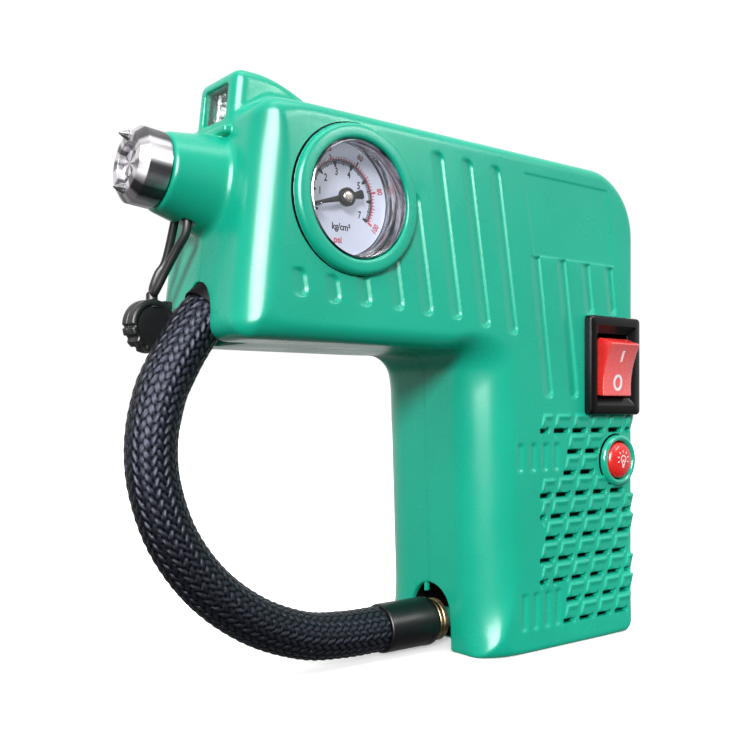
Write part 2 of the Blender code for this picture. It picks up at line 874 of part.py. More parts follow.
def drive():
    x = MOTOR_X
    low, high = MOTOR_Z
    motor = rod("motor_can", (x, 0, low), (x, 0, high), MOTOR_RADIUS, "steel", sides=32)
    boss = rod("motor_boss", (x, 0, high - 1), (x, 0, high + 1.6), 3.1, collection=CUTTERS, sides=16)
    shaft_bore = rod("motor_bore", (x, 0, high - 8), (x, 0, high + 3), 1.3, collection=CUTTERS, sides=12)
    join(motor, boss)
    cut(motor, shaft_bore)
    rod("motor_end_cap", (x, 0, low - 3.6), (x, 0, low - GAP), 11.8, "black_plastic", sides=32)

    pinion = flat_outline("motor_pinion", gear_outline(PINION_TEETH), 4.0, "brass")
    pinion.location = Vector((x, 0, sum(GEAR_Z) / 2)) * MM
    # Half a pitch round, so that a gap meets the crank gear's tooth.
    pinion.rotation_euler = (0, 0, math.pi / PINION_TEETH)
    shaft = rod("pinion_shaft", (x, 0, high - 7), (x, 0, 106), 1.0, collection=CUTTERS, sides=12)
    join(pinion, shaft)

    gear = flat_outline("crank_gear", gear_outline(GEAR_TEETH), GEAR_Z[1] - GEAR_Z[0], "white_plastic")
    gear.location = Vector((CRANK_X, 0, sum(GEAR_Z) / 2)) * MM
    gear.rotation_euler = (0, 0, math.pi)
    pin = rod(
        "crank_pin",
        (CRANK_X + CRANK_RADIUS, 0, GEAR_Z[1] - 1),
        (CRANK_X + CRANK_RADIUS, 0, ROD_Z - 1.8),
        1.5,
        collection=CUTTERS,
        sides=12,
    )
    bore = rod(
        "gear_bore",
        (CRANK_X, 0, GEAR_Z[0] - 1),
        (CRANK_X, 0, GEAR_Z[1] + 1),
        1.6,
        collection=CUTTERS,
    )
    join(gear, pin)
    cut(gear, bore)
    axle = rod("crank_axle", (CRANK_X, 0, PLATE_Z[0] + 0.2), (CRANK_X, 0, 105.2), 1.5, "steel")
    head = rod("axle_head", (CRANK_X, 0, 104.9), (CRANK_X, 0, 106), 2.2, collection=CUTTERS)
    join(axle, head)

    plate = box("frame_plate", (-56, -13, PLATE_Z[0]), (9.5, 13, PLATE_Z[1]), "steel")
    boss_hole = rod("boss_hole", (x, 0, 95), (x, 0, 101), 3.5, collection=CUTTERS, sides=16)
    axle_hole = rod("axle_hole", (CRANK_X, 0, 95), (CRANK_X, 0, 101), 1.8, collection=CUTTERS)
    cut(plate, boss_hole, axle_hole)


def air_path():
    front, rear = PISTON
    radius = BORE_RADIUS - 0.35
    piston = turned(
        "piston",
        [
            (0, rear - front),
            (radius, rear - front),
            (radius, 3.6),
            (7.4, 3.6),
            (7.4, 2),
            (radius, 2),
            (radius, 0),
            (0, 0),
        ],
        (front, 0, ROD_Z),
        (1, 0, 0),
        "aluminium",
        steps=28,
    )
    big_end = CRANK_X + CRANK_RADIUS
    bar = box("rod_bar", (rear - 1, -2.2, ROD_Z - 1.4), (big_end, 2.2, ROD_Z + 1.4), collection=CUTTERS)
    eye = rod("rod_eye", (big_end, 0, ROD_Z - 1.5), (big_end, 0, ROD_Z + 1.5), 4.2, collection=CUTTERS)
    eye_bore = rod("eye_bore", (big_end, 0, ROD_Z - 3), (big_end, 0, ROD_Z + 3), 1.7, collection=CUTTERS)
    join(piston, bar, eye)
    cut(piston, eye_bore)
    turned(
        "piston_seal",
        [(8.9, 3.35), (8.9, 2.25), (7.7, 2.25), (7.7, 3.35)],
        (front, 0, ROD_Z),
        (1, 0, 0),
        "rubber",
        steps=28,
        ring=True,
    )

    front, rear = CYLINDER
    turned(
        "cylinder",
        [(11.4, rear - front), (11.4, 0), (BORE_RADIUS, 0), (BORE_RADIUS, rear - front)],
        (front, 0, ROD_Z),
        (1, 0, 0),
        "aluminium",
        ring=True,
    )
    box("valve_plate", (-60.6, -10, ROD_Z - 10), (-58.3, 10, ROD_Z + 10), "steel")
    box("cylinder_head", (-66, -10, ROD_Z - 10), (-60.9, 10, ROD_Z + 10), "aluminium", bevel=1)
    rod("outlet_tube", (-76.2, 0, ROD_Z), (-66.3, 0, ROD_Z), 2.5, "brass", sides=12)
    box("manifold", (-84, -4.5, 104), (-76.5, 4.5, 130), "brass", bevel=0.6)

    start = Vector((HOSE_ROUTE[0][0], 0, HOSE_ROUTE[0][1]))
    back = -HOSE_EXIT_AXIS
    ferrule_end = start + back * 8
    rod("hose_ferrule", start + back * GAP, ferrule_end, 6.9, "steel", sides=28)
    barb_start = ferrule_end + back * GAP
    reach = (-84.3 - barb_start.x) / back.x - 2.6
    rod("hose_barb", barb_start, barb_start + back * reach, 3.0, "brass", sides=12)


def hose():
    route = [(x, 0, z) for x, z in HOSE_ROUTE]
    tube("hose", smooth_route(route, 6.0), HOSE_OD, "braid", resolution=4)
    length = SLEEVE[1] - SLEEVE[0]
    turned(
        "chuck_sleeve",
        [(3.6, length), (6.8, length), (7.3, length - 0.7), (7.3, 0.5), (6.9, 0), (3.6, 0)],
        (SLEEVE[0], 0, CHUCK_Z),
        (1, 0, 0),
        "black_plastic",
        ring=True,
        steps=28,
    )
    length = COLLAR[1] - COLLAR[0]
    turned(
        "chuck_collar",
        [(3.6, length), (5.9, length), (6.4, length - 0.5), (6.4, 0), (3.6, 0)],
        (COLLAR[0], 0, CHUCK_Z),
        (1, 0, 0),
        "brass",
        ring=True,
        steps=28,
    )
    post_end = (NOTCH_REAR - GAP, 0, CHUCK_Z)
    rod("stow_post", (POST_START, 0, CHUCK_Z), post_end, 3.0, "green_plastic", sides=16)


def main():
    casing()
    nose_fittings()
    gauge()
    switch()
    lamp_button()
    power()
    drive()
    air_path()
    hose()
    tether()


main()
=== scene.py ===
"""The looks of a hand-held cordless air pump: casing, gauge, lamp, hammer tip, hose and switches.

Lengths are in millimetres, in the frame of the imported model, until a mesh is made: X runs from the
nose (-) to the back (+), Y from the gauge side (-) to the screw side (+), Z up from the foot.
"""

import itertools
import json
import math

import bmesh
import bpy
import numpy as np
from mathutils import Matrix, Vector


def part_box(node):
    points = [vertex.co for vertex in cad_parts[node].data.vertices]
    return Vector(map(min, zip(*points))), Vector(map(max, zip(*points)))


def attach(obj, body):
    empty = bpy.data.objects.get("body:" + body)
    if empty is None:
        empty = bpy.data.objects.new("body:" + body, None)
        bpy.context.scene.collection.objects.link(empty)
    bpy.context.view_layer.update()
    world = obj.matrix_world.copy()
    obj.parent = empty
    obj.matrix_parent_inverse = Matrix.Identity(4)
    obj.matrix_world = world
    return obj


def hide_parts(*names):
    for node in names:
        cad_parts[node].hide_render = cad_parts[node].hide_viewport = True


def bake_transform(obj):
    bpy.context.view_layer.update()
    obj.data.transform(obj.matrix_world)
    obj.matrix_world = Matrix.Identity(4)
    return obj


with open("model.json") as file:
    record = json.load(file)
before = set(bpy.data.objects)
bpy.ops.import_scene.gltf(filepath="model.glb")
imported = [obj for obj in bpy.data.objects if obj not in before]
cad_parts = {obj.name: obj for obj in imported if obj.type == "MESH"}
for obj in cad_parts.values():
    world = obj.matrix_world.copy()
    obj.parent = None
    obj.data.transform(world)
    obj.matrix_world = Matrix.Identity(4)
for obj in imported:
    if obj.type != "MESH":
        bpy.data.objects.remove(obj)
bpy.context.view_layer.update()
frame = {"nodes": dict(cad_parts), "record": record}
MM = 0.001


def low(node):
    """A CAD node's lowest corner, in millimetres."""
    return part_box(node)[0] / MM


def high(node):
    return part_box(node)[1] / MM


def middle(node):
    return (low(node) + high(node)) / 2


# ---------------------------------------------------------------- sizes, from the frame

HALF_WIDTH = high("shell_right").y
REAR = high("shell_right").x
TOP = high("shell_right").z - 10.0  # of the barrel, below the lamp hood's top
HOOD_TOP = high("shell_right").z
HOOD_HALF_WIDTH = 10.5
HOOD_FOOT = 141.5
HOOD_REAR = -88  # where its top starts to slope down
UNDERSIDE = 89.0  # of the barrel
WALL = high("base_cover").z
NOSE_LEAN = 0.11  # forward per millimetre down
NOSE_AT_TOP = -107.0
COLUMN_FRONT = -33.0  # at the foot
COLUMN_LEAN = 0.0365  # forward per millimetre up
GAUGE = middle("gauge_bezel")
MOVEMENT = middle("gauge_case")
WINDOW_RADIUS = 15.3
RING_RADIUS = 19.2
RING_PROUD = -low("shell_left").y - HALF_WIDTH
SWITCH = middle("switch_housing")
BUTTON = middle("button_collar")
CHUCK = middle("chuck_sleeve")
NOTCH_HALF_WIDTH = 8.7
NOTCH_TOP = 19.6
NOTCH_REAR = high("stow_post").x + 0.3
JACK = middle("dc_jack")
SCREWS = [middle(f"screw_{number}") for number in range(1, 7)]
SNOUT_AXIS = Vector((-1, 0, NOSE_LEAN)).normalized()
SNOUT_UP = Vector((SNOUT_AXIS.z, 0, -SNOUT_AXIS.x))
SNOUT_LENGTH = 14.2
SNOUT_RADII = (12.8, 9.9)
TIP_FRONT = 22.4  # along the snout's axis
LAMP = middle("lamp_lens")
LAMP_HALF = (high("lamp_lens") - low("lamp_lens")) / 2

HOSE_DIAMETER = 13.0
# The hose's route in the plane Y = 0, from the port in the nose to the chuck's sleeve: X and Z.
HOSE_ROUTE = [
    (-105.4, 99.6),
    (-111.1, 95.0),
    (-115.8, 88.6),
    (-119.6, 82.0),
    (-122.7, 75.0),
    (-124.8, 63.8),
    (-123.7, 52.0),
    (-118.5, 38.5),
    (-108.7, 26.0),
    (-95.2, 16.2),
    (-80.0, 10.2),
    (-66.5, 8.5),
    (-53.9, 8.3),
]
HOSE_EXIT_AXIS = Vector((-0.77, 0, -0.638)).normalized()


def nose_x(z):
    """X of the leaning nose face at a height."""
    return NOSE_AT_TOP - NOSE_LEAN * (TOP - z)


SNOUT_BASE = Vector((nose_x(129.3), 0, 129.3))


def snout_at(height, radius=0.0):
    return SNOUT_BASE + SNOUT_AXIS * height + SNOUT_UP * radius


# ---------------------------------------------------------------- camera, light and floor


CAMERA_PLACE = (-0.2277, -0.2189, 0.072)
CAMERA_AIM = (0.6198, 0.7848, 0)
LENS = 46.08
HORIZON_SHIFT = 0.0467
MAP_RANGE_ENDS = ("From Min", "From Max", "To Min", "To Max")
MIDDLE_OF_PUMP = (-0.045, 0, 0.1)  # in metres, as the camera's and the lights' places are


def link(obj):
    bpy.context.scene.collection.objects.link(obj)
    return obj


def look_at(obj, place, direction):
    obj.location = Vector(place)
    obj.rotation_euler = Vector(direction).to_track_quat("-Z", "Y").to_euler()


def camera():
    data = bpy.data.cameras.new("camera")
    data.sensor_width = 36
    data.lens = LENS
    data.shift_y = HORIZON_SHIFT
    data.clip_start = 0.01
    obj = link(bpy.data.objects.new("camera", data))
    look_at(obj, CAMERA_PLACE, CAMERA_AIM)
    bpy.context.scene.camera = obj


def soft_box(name, place, target, size, watts):
    """A card of light that shows only as a reflection, so it leaves matt surfaces alone."""
    data = bpy.data.lights.new(name, "AREA")
    data.shape = "RECTANGLE"
    data.size, data.size_y = size
    data.energy = watts
    obj = link(bpy.data.objects.new(name, data))
    look_at(obj, place, Vector(target) - Vector(place))
    obj.visible_diffuse = False


def daylight(name, direction, strength, spread):
    """Even light from one side, with soft shadows and no glare of its own."""
    data = bpy.data.lights.new(name, "SUN")
    data.energy = strength
    data.angle = math.radians(spread)
    obj = link(bpy.data.objects.new(name, data))
    look_at(obj, (0, 0, 1), direction)
    obj.visible_glossy = False


def studio():
    """A pale studio: white ahead and overhead, dim behind the camera and below, and soft boxes."""
    soft_box("strip", (-0.61, -0.52, 0.36), MIDDLE_OF_PUMP, (0.56, 0.54), 28)
    soft_box("low_strip", (-0.61, -0.52, 0.045), (-0.045, 0, 0.045), (0.5, 0.07), 0.3)
    soft_box("side", (0.45, -0.75, 0.56), (-0.045, 0, 0.01), (0.3, 0.22), 3.5)
    soft_box("overhead", (-0.1, -0.25, 0.9), MIDDLE_OF_PUMP, (0.9, 0.25), 3)
    daylight("front", (0.66, 0.66, -0.35), 3.0, 14)
    daylight("above", (0.05, 0.1, -1), 1.7, 60)
    world = bpy.data.worlds.new("studio")
    bpy.context.scene.world = world
    world.use_nodes = True
    tree = world.node_tree
    background = tree.nodes["Background"]
    background.inputs["Color"].default_value = (1, 1, 1, 1)
    sky = tree.nodes.new("ShaderNodeTexCoord").outputs["Generated"]
    falls = []
    for toward, start, end, darkest, brightest in (
        ((0.62, 0.785, 0.35), -0.2, 0.35, 0.3, 1.02),
        ((0, 0, 1), -0.35, -0.04, 0.26, 1.0),
    ):
        facing = tree.nodes.new("ShaderNodeVectorMath")
        facing.operation = "DOT_PRODUCT"
        facing.inputs[1].default_value = toward
        tree.links.new(sky, facing.inputs[0])
        fall = tree.nodes.new("ShaderNodeMapRange")
        for key, value in zip(MAP_RANGE_ENDS, (start, end, darkest, brightest)):
            fall.inputs[key].default_value = value
        tree.links.new(facing.outputs["Value"], fall.inputs["Value"])
        falls.append(fall.outputs["Result"])
    both = tree.nodes.new("ShaderNodeMath")
    both.operation = "MULTIPLY"
    for fall, socket in zip(falls, both.inputs):
        tree.links.new(fall, socket)
    tree.links.new(both.outputs[0], background.inputs["Strength"])
    bpy.ops.mesh.primitive_plane_add(size=8, location=(0, 0, 0))
    floor = bpy.context.object
    floor.name = "floor"
    floor.visible_diffuse = False
    floor.visible_glossy = False
    paint = bpy.data.materials.new("floor_paint")
    paint.use_nodes = True
    inputs = paint.node_tree.nodes["Principled BSDF"].inputs
    inputs["Base Color"].default_value = (0.95, 0.95, 0.95, 1)
    inputs["Roughness"].default_value = 1.0
    inputs["Specular IOR Level"].default_value = 0.0
    inputs["Emission Color"].default_value = (1, 1, 1, 1)
    inputs["Emission Strength"].default_value = 0.4
    floor.data.materials.append(paint)
    bpy.context.scene.view_settings.view_transform = "Standard"


# ---------------------------------------------------------------- materials


class Nodes:
    """A material's node tree, with short calls for what is used again and again."""

    def __init__(self, name):
        self.material = bpy.data.materials.new(name)
        self.material.use_nodes = True
        self.tree = self.material.node_tree
        self.shader = self.tree.nodes["Principled BSDF"]

    def add(self, kind, inputs=(), **settings):
        node = self.tree.nodes.new(kind)
        for key, value in settings.items():
            setattr(node, key, value)
        for key, value in dict(inputs).items():
            self.feed(value, node.inputs[key])
        return node

    def feed(self, value, socket):
        if isinstance(value, bpy.types.NodeSocket):
            self.tree.links.new(value, socket)
        elif socket.type == "RGBA":
            socket.default_value = (*value, 1)
        else:
            socket.default_value = value

    def set(self, **values):
        for key, value in values.items():
            name = key.replace("_", " ").title().replace("Ior", "IOR")
            self.feed(value, self.shader.inputs[name])

    def place(self):
        return self.add("ShaderNodeTexCoord").outputs["Object"]

    def noise(self, scale, detail=4.0, vector=None, roughness=0.55):
        inputs = {"Vector": vector or self.place(), "Scale": scale, "Detail": detail}
        inputs["Roughness"] = roughness
        return self.add("ShaderNodeTexNoise", inputs).outputs["Fac"]

    def spread(self, value, from_low, from_high, to_low, to_high):
        node = self.add("ShaderNodeMapRange", {"Value": value})
        for key, number in zip(MAP_RANGE_ENDS, (from_low, from_high, to_low, to_high)):
            node.inputs[key].default_value = number
        return node.outputs["Result"]

    def maths(self, operation, a, b=0.0):
        node = self.add("ShaderNodeMath", operation=operation)
        self.feed(a, node.inputs[0])
        self.feed(b, node.inputs[1])
        return node.outputs[0]

    def mix(self, fac, a, b):
        node = self.add("ShaderNodeMix", data_type="RGBA")
        self.feed(fac, node.inputs[0])
        self.feed(a, node.inputs[6])
        self.feed(b, node.inputs[7])
        return node.outputs[2]

    def bump(self, height, strength, distance=0.0001):
        inputs = {"Height": height, "Strength": strength, "Distance": distance}
        return self.add("ShaderNodeBump", inputs).outputs["Normal"]


def shade(colour, factor):
    return tuple(min(1.0, channel * factor) for channel in colour)


def moulded(name, colour, roughness, grain=0.05, scale=900.0, coat=0.0, gloss=0.5, painted_glow=0.0):
    """Moulded plastic, rubber or paint: faint colour drift, fine grain and uneven polish."""
    nodes = Nodes(name)
    drift = nodes.noise(28, 3)
    fine = nodes.noise(scale, 3)
    tint = nodes.mix(nodes.spread(drift, 0.35, 0.65, 0, 1), shade(colour, 0.95), shade(colour, 1.05))
    nodes.set(base_color=tint, coat_weight=coat, specular_ior_level=gloss)
    # Emission from a surface that is no lamp: painted light.
    nodes.set(emission_color=colour, emission_strength=painted_glow)
    patches = nodes.noise(70, 5)
    nodes.set(roughness=nodes.spread(patches, 0.3, 0.7, roughness * 0.88, roughness * 1.14))
    nodes.set(normal=nodes.bump(fine, grain))
    return nodes.material


def worked_metal(name, colour, roughness, streaks=(1, 1, 1), scale=300.0, depth=0.08):
    """Metal with marks stretched along one axis, and faint tarnish."""
    nodes = Nodes(name)
    stretch = nodes.add("ShaderNodeMapping", {"Vector": nodes.place(), "Scale": streaks})
    marks = nodes.noise(scale, 4, stretch.outputs["Vector"])
    stain = nodes.noise(45, 5)
    tint = nodes.mix(nodes.spread(stain, 0.4, 0.7, 0, 1), colour, shade(colour, 0.78))
    nodes.set(base_color=tint, metallic=1.0)
    nodes.set(roughness=nodes.spread(marks, 0.3, 0.7, roughness * 0.7, roughness * 1.3))
    nodes.set(normal=nodes.bump(marks, depth))
    return nodes.material


def lathe_space(nodes, centre, axis):
    """Sockets for a turned part: distance from its axis, place along it, and direction out of it."""
    centre, axis = tuple(Vector(centre) * MM), tuple(Vector(axis).normalized())
    shift = nodes.add("ShaderNodeVectorMath", {0: nodes.place(), 1: centre}, operation="SUBTRACT")
    shift = shift.outputs["Vector"]
    along = nodes.add("ShaderNodeVectorMath", {0: shift, 1: axis}, operation="DOT_PRODUCT")
    along = along.outputs["Value"]
    foot = nodes.add("ShaderNodeVectorMath", {0: axis, "Scale": along}, operation="SCALE")
    out = nodes.add("ShaderNodeVectorMath", {0: shift, 1: foot.outputs["Vector"]}, operation="SUBTRACT")
    out = out.outputs["Vector"]
    radius = nodes.add("ShaderNodeVectorMath", {0: out}, operation="LENGTH").outputs["Value"]
    heading = nodes.add("ShaderNodeVectorMath", {0: out}, operation="NORMALIZE").outputs["Vector"]
    return radius, along, heading


def turned_metal(name, colour, roughness, centre, axis, rings=9000.0, wedges=0.35):
    """Metal from a lathe: fine rings round its axis, and painted reflections that break into light and dark
    wedges in its colour.
    """
    nodes = Nodes(name)
    radius, along, heading = lathe_space(nodes, centre, axis)
    ring = nodes.maths("SINE", nodes.maths("MULTIPLY", nodes.maths("ADD", radius, along), rings))
    # Painted reflection: the colour is lighter and darker in wedges round the axis, as the metal's
    # reflections would be.
    painted_wedge = nodes.noise(3.4, 0, heading)
    worn = nodes.noise(60, 4)
    painted_shine = nodes.mix(nodes.spread(painted_wedge, 0.42, 0.6, 0, 1), shade(colour, 1 - wedges), shade(colour, 1.3))
    nodes.set(base_color=nodes.mix(nodes.spread(worn, 0.45, 0.75, 0, 0.5), painted_shine, shade(colour, 0.6)))
    nodes.set(metallic=1.0, anisotropic=0.4)
    nodes.set(roughness=nodes.spread(worn, 0.3, 0.7, roughness * 0.8, roughness * 1.25))
    nodes.set(normal=nodes.bump(ring, 0.08, 0.00005))
    return nodes.material


def streaked_metal(name, bright, dark, centre, roughness=0.16, scale=2.0):
    """Bright metal with dark streaks that run round it, as in a deep polished rim; the streaks are painted
    reflections in its colour.
    """
    nodes = Nodes(name)
    radius, along, heading = lathe_space(nodes, centre, (0, 1, 0))
    rise = nodes.maths("MULTIPLY", nodes.maths("ADD", radius, along), 900.0)
    stretched = nodes.add("ShaderNodeVectorMath", {0: heading, "Scale": scale}, operation="SCALE")
    lift = nodes.add("ShaderNodeCombineXYZ", {"Y": rise}).outputs["Vector"]
    spot = nodes.add("ShaderNodeVectorMath", {0: stretched.outputs["Vector"], 1: lift}, operation="ADD")
    # Painted reflection: dark and bright streaks in the colour, standing in for what a polished rim
    # reflects.
    painted_reflection = nodes.noise(1.0, 4, spot.outputs["Vector"], 0.6)
    nodes.set(base_color=nodes.mix(nodes.spread(painted_reflection, 0.4, 0.58, 0, 1), dark, bright))
    nodes.set(metallic=1.0, roughness=nodes.spread(painted_reflection, 0.3, 0.7, roughness * 1.6, roughness))
    nodes.set(normal=nodes.bump(painted_reflection, 0.3, 0.0004))
    return nodes.material


def clear_plastic(name, cover=0.03):
    """A thin clear cover: mostly see-through, with faint haze and a polished face."""
    nodes = Nodes(name)
    haze = nodes.noise(160, 4)
    nodes.set(base_color=(0.92, 0.95, 1.0), alpha=nodes.spread(haze, 0.3, 0.7, cover * 0.7, cover * 1.3))
    nodes.set(roughness=nodes.spread(haze, 0.3, 0.7, 0.03, 0.07), ior=1.49)
    nodes.set(normal=nodes.bump(haze, 0.03, 0.0002))
    return nodes.material


def glossy_red(name, colour):
    """Tinted translucent switch plastic: a little light shines through its colour."""
    nodes = Nodes(name)
    cloud = nodes.noise(110, 3)
    fine = nodes.noise(1600, 3)
    tint = nodes.mix(nodes.spread(cloud, 0.3, 0.7, 0, 1), shade(colour, 0.93), shade(colour, 1.05))
    nodes.set(base_color=tint)
    nodes.set(roughness=nodes.spread(fine, 0.3, 0.7, 0.26, 0.29), coat_weight=0.2)
    nodes.set(subsurface_weight=0.05, subsurface_scale=0.001, normal=nodes.bump(fine, 0.004))
    return nodes.material


GREEN = (0.006, 0.45, 0.29)

# ---------------------------------------------------------------- meshes


def from_bmesh(name, bm, smooth_below=None):
    mesh = bpy.data.meshes.new(name)
    bm.to_mesh(mesh)
    bm.free()
    if smooth_below is not None:
        mesh.shade_smooth()
        mesh.set_sharp_from_angle(angle=math.radians(smooth_below))
    return link(bpy.data.objects.new(name, mesh))


def from_grid(name, points):
    """A closed tube from a grid of points, (rows, columns, 3) in millimetres, with flat ends."""
    rows, columns = points.shape[:2]
    index = np.arange(rows * columns).reshape(rows, columns)
    right = np.roll(index, -1, axis=1)
    quads = np.stack([index[:-1], right[:-1], right[1:], index[1:]], axis=-1).reshape(-1, 4)
    faces = quads.tolist() + [index[0, ::-1].tolist(), index[-1].tolist()]
    mesh = bpy.data.meshes.new(name)
    mesh.from_pydata((points.reshape(-1, 3) * MM).tolist(), [], faces)
    mesh.shade_smooth()
    return link(bpy.data.objects.new(name, mesh))


def turned(name, profile, centre, axis, steps=96, smooth_below=35.0):
    """A turned piece: profile of (radius, height) points, heights along axis from centre. A profile
    that starts and ends on the axis is a solid, and any other one is a closed ring."""
    axis = Vector(axis).normalized()
    turn = axis.to_track_quat("Z", "Y").to_matrix()
    bm = bmesh.new()
    ring = profile[0][0] > 1e-6
    rows = []
    for radius, height in profile:
        if radius < 1e-6:
            rows.append([bm.verts.new((Vector(centre) + axis * height) * MM)] * steps)
            continue
        angles = [2 * math.pi * i / steps for i in range(steps)]
        places = [turn @ Vector((radius * math.cos(a), radius * math.sin(a), height)) for a in angles]
        rows.append([bm.verts.new((Vector(centre) + place) * MM) for place in places])
    pairs = list(zip(rows, rows[1:])) + ([(rows[-1], rows[0])] if ring else [])
    for upper, lower in pairs:
        for i in range(steps):
            j = (i + 1) % steps
            corners = list(dict.fromkeys([upper[i], upper[j], lower[j], lower[i]]))
            if len(corners) > 2:
                bm.faces.new(corners)
    bmesh.ops.recalc_face_normals(bm, faces=bm.faces)
    return from_bmesh(name, bm, smooth_below)


def rounded_profile(points, radius=0.25, segments=3):
    """The profile with each corner replaced by a short arc."""
    result = [points[0]]
    for before, at, after in zip(points, points[1:], points[2:]):
        a, b, c = (np.array(p, float) for p in (before, at, after))
        reach = min(radius, np.linalg.norm(a - b) / 2.1, np.linalg.norm(c - b) / 2.1)
        start = b + (a - b) / max(np.linalg.norm(a - b), 1e-9) * reach
        end = b + (c - b) / max(np.linalg.norm(c - b), 1e-9) * reach
        for step in range(segments + 1):
            t = step / segments
            result.append(tuple((1 - t) ** 2 * start + 2 * t * (1 - t) * b + t * t * end))
    result.append(points[-1])
    return result


STEPS_PER_SPAN = 24


def smooth_route(points, spacing):
    """Points about that far apart on a smooth curve through the given ones."""
    points = [np.array(p, float) for p in points]
    ends = [2 * points[0] - points[1], *points, 2 * points[-1] - points[-2]]
    fine = []
    for a, b, c, d in zip(ends, ends[1:], ends[2:], ends[3:]):
        for t in np.linspace(0, 1, STEPS_PER_SPAN, endpoint=False):
            square, cube = 2 * a - 5 * b + 4 * c - d, 3 * b - a - 3 * c + d
            fine.append(0.5 * (2 * b + (c - a) * t + square * t**2 + cube * t**3))
    fine = np.array([*fine, points[-1]])
    along = np.concatenate([[0], np.cumsum(np.linalg.norm(np.diff(fine, axis=0), axis=1))])
    at = np.linspace(0, along[-1], max(2, round(along[-1] / spacing)) + 1)
    return np.stack([np.interp(at, along, fine[:, k]) for k in range(3)], axis=1)


def tube_points(path, around, radius, across=(0, 1, 0)):
    """Grid of points round a path. radius is a number or an array (rows, around). across is a
    direction that is never along the path."""
    tangent = np.gradient(path, axis=0)
    tangent /= np.linalg.norm(tangent, axis=1)[:, None]
    side = np.cross(tangent, np.array(across, float))
    side /= np.linalg.norm(side, axis=1)[:, None]
    over = np.cross(side, tangent)
    angle = 2 * np.pi * np.arange(around) / around
    ring = np.cos(angle)[None, :, None] * side[:, None] + np.sin(angle)[None, :, None] * over[:, None]
    return path[:, None] + ring * (radius if np.isscalar(radius) else radius[..., None])


# ---------------------------------------------------------------- solids as distance fields


def round_max(a, b, radius):
    """Where both fields are negative, with a rounded edge."""
    corner = np.hypot(np.maximum(a + radius, 0), np.maximum(b + radius, 0))
    return np.minimum(-radius, np.maximum(a, b)) + corner


def round_min(a, b, radius):
    """Where either field is negative, with a rounded inner corner."""
    corner = np.hypot(np.maximum(radius - a, 0), np.maximum(radius - b, 0))
    return np.maximum(radius, np.minimum(a, b)) - corner


def ease(value):
    """0 below 0, 1 above 1 and smooth between."""
    value = np.clip(value, 0, 1)
    return value * value * (3 - 2 * value)


def box_field(x, y, z, lows, highs, radius=0.0):
    u, v, w = (np.maximum(a - value, value - b) for value, a, b in zip((x, y, z), lows, highs))
    return round_max(round_max(u, v, radius), w, radius)


def rod_field(x, y, z, start, end, radius):
    """A flat-ended round rod."""
    axis = (Vector(end) - Vector(start)).normalized()
    length = (Vector(end) - Vector(start)).length
    dx, dy, dz = x - start[0], y - start[1], z - start[2]
    along = dx * axis.x + dy * axis.y + dz * axis.z
    off = np.sqrt(np.maximum(dx * dx + dy * dy + dz * dz - along * along, 0))
    return np.maximum(off - radius, np.maximum(-along, along - length))


def blurred(field, passes):
    for _ in range(passes):
        for axis in range(3):
            padded = np.pad(field, [(1, 1) if k == axis else (0, 0) for k in range(3)], mode="edge")
            part = [slice(None)] * 3
            part[axis] = slice(0, -2)
            before = padded[tuple(part)]
            part[axis] = slice(2, None)
            field = 0.5 * field + 0.25 * (before + padded[tuple(part)])
    return field


def sampled(field, points):
    """The field between grid points."""
    base = np.clip(np.floor(points).astype(np.int32), 0, np.array(field.shape) - 2)
    part = (points - base).astype(np.float32)
    total = np.zeros(len(points), np.float32)
    for corner in itertools.product((0, 1), repeat=3):
        weight = np.prod(np.where(corner, part, 1 - part), axis=1)
        total += weight * field[tuple((base + corner).T)]
    return total


def gradient(field, points, reach=0.6):
    slopes = []
    for axis in range(3):
        offset = np.zeros(3)
        offset[axis] = reach
        slopes.append(sampled(field, points + offset) - sampled(field, points - offset))
    return np.stack(slopes, axis=1) / (2 * reach)


def surface_of(field):
    """Surface nets: a point in each cell that the surface crosses, and a quad round each grid edge
    that it crosses. Returns the points in grid units and the quads."""
    inside = field < 0
    cells = [size - 1 for size in field.shape]

    def corner(array, offset):
        return array[tuple(slice(o, o + n) for o, n in zip(offset, cells))]

    offsets = list(itertools.product((0, 1), repeat=3))
    count = sum(corner(inside, offset).astype(np.int8) for offset in offsets)
    mixed = (count > 0) & (count < 8)
    where = np.argwhere(mixed)
    number = np.full(mixed.shape, -1, np.int32)
    number[mixed] = np.arange(len(where))
    total = np.zeros((len(where), 3), np.float32)
    hits = np.zeros(len(where), np.float32)
    for axis in range(3):
        for offset in offsets:
            if offset[axis]:
                continue
            step = np.array([k == axis for k in range(3)], int)
            start = field[tuple((where + offset).T)]
            end = field[tuple((where + offset + step).T)]
            crossed = (start < 0) != (end < 0)
            share = np.where(crossed, start / np.where(crossed, start - end, 1), 0)
            total += (np.array(offset) + share[:, None] * step) * crossed[:, None]
            hits += crossed
    points = where + total / hits[:, None]
    quads = []
    for axis in range(3):
        u, v = [k for k in range(3) if k != axis]
        first, second = [slice(None)] * 3, [slice(None)] * 3
        first[axis], second[axis] = slice(0, -1), slice(1, None)
        entering = inside[tuple(first)] & ~inside[tuple(second)]
        leaving = ~inside[tuple(first)] & inside[tuple(second)]
        for crossing, turn in ((entering, axis != 1), (leaving, axis == 1)):
            at = np.argwhere(crossing)
            at = at[(at[:, u] > 0) & (at[:, v] > 0) & (at[:, u] < cells[u]) & (at[:, v] < cells[v])]
            ring = []
            for du, dv in ((-1, -1), (0, -1), (0, 0), (-1, 0)):
                cell = at.copy()
                cell[:, u] += du
                cell[:, v] += dv
                ring.append(number[tuple(cell.T)])
            ring = np.stack(ring, axis=1)
            quads.append(ring if turn else ring[:, ::-1])
    return points, np.concatenate(quads)


LARGE_FACE = 0.8  # in square millimetres
FLAT_SIDE = 0.995  # how nearly such a face looks straight to one side
CREASE = 14  # degrees
LEAST_SLOPE = 0.05  # squared, so that a flat field sends no point far
LONGEST_MOVE = 0.4  # of a grid step


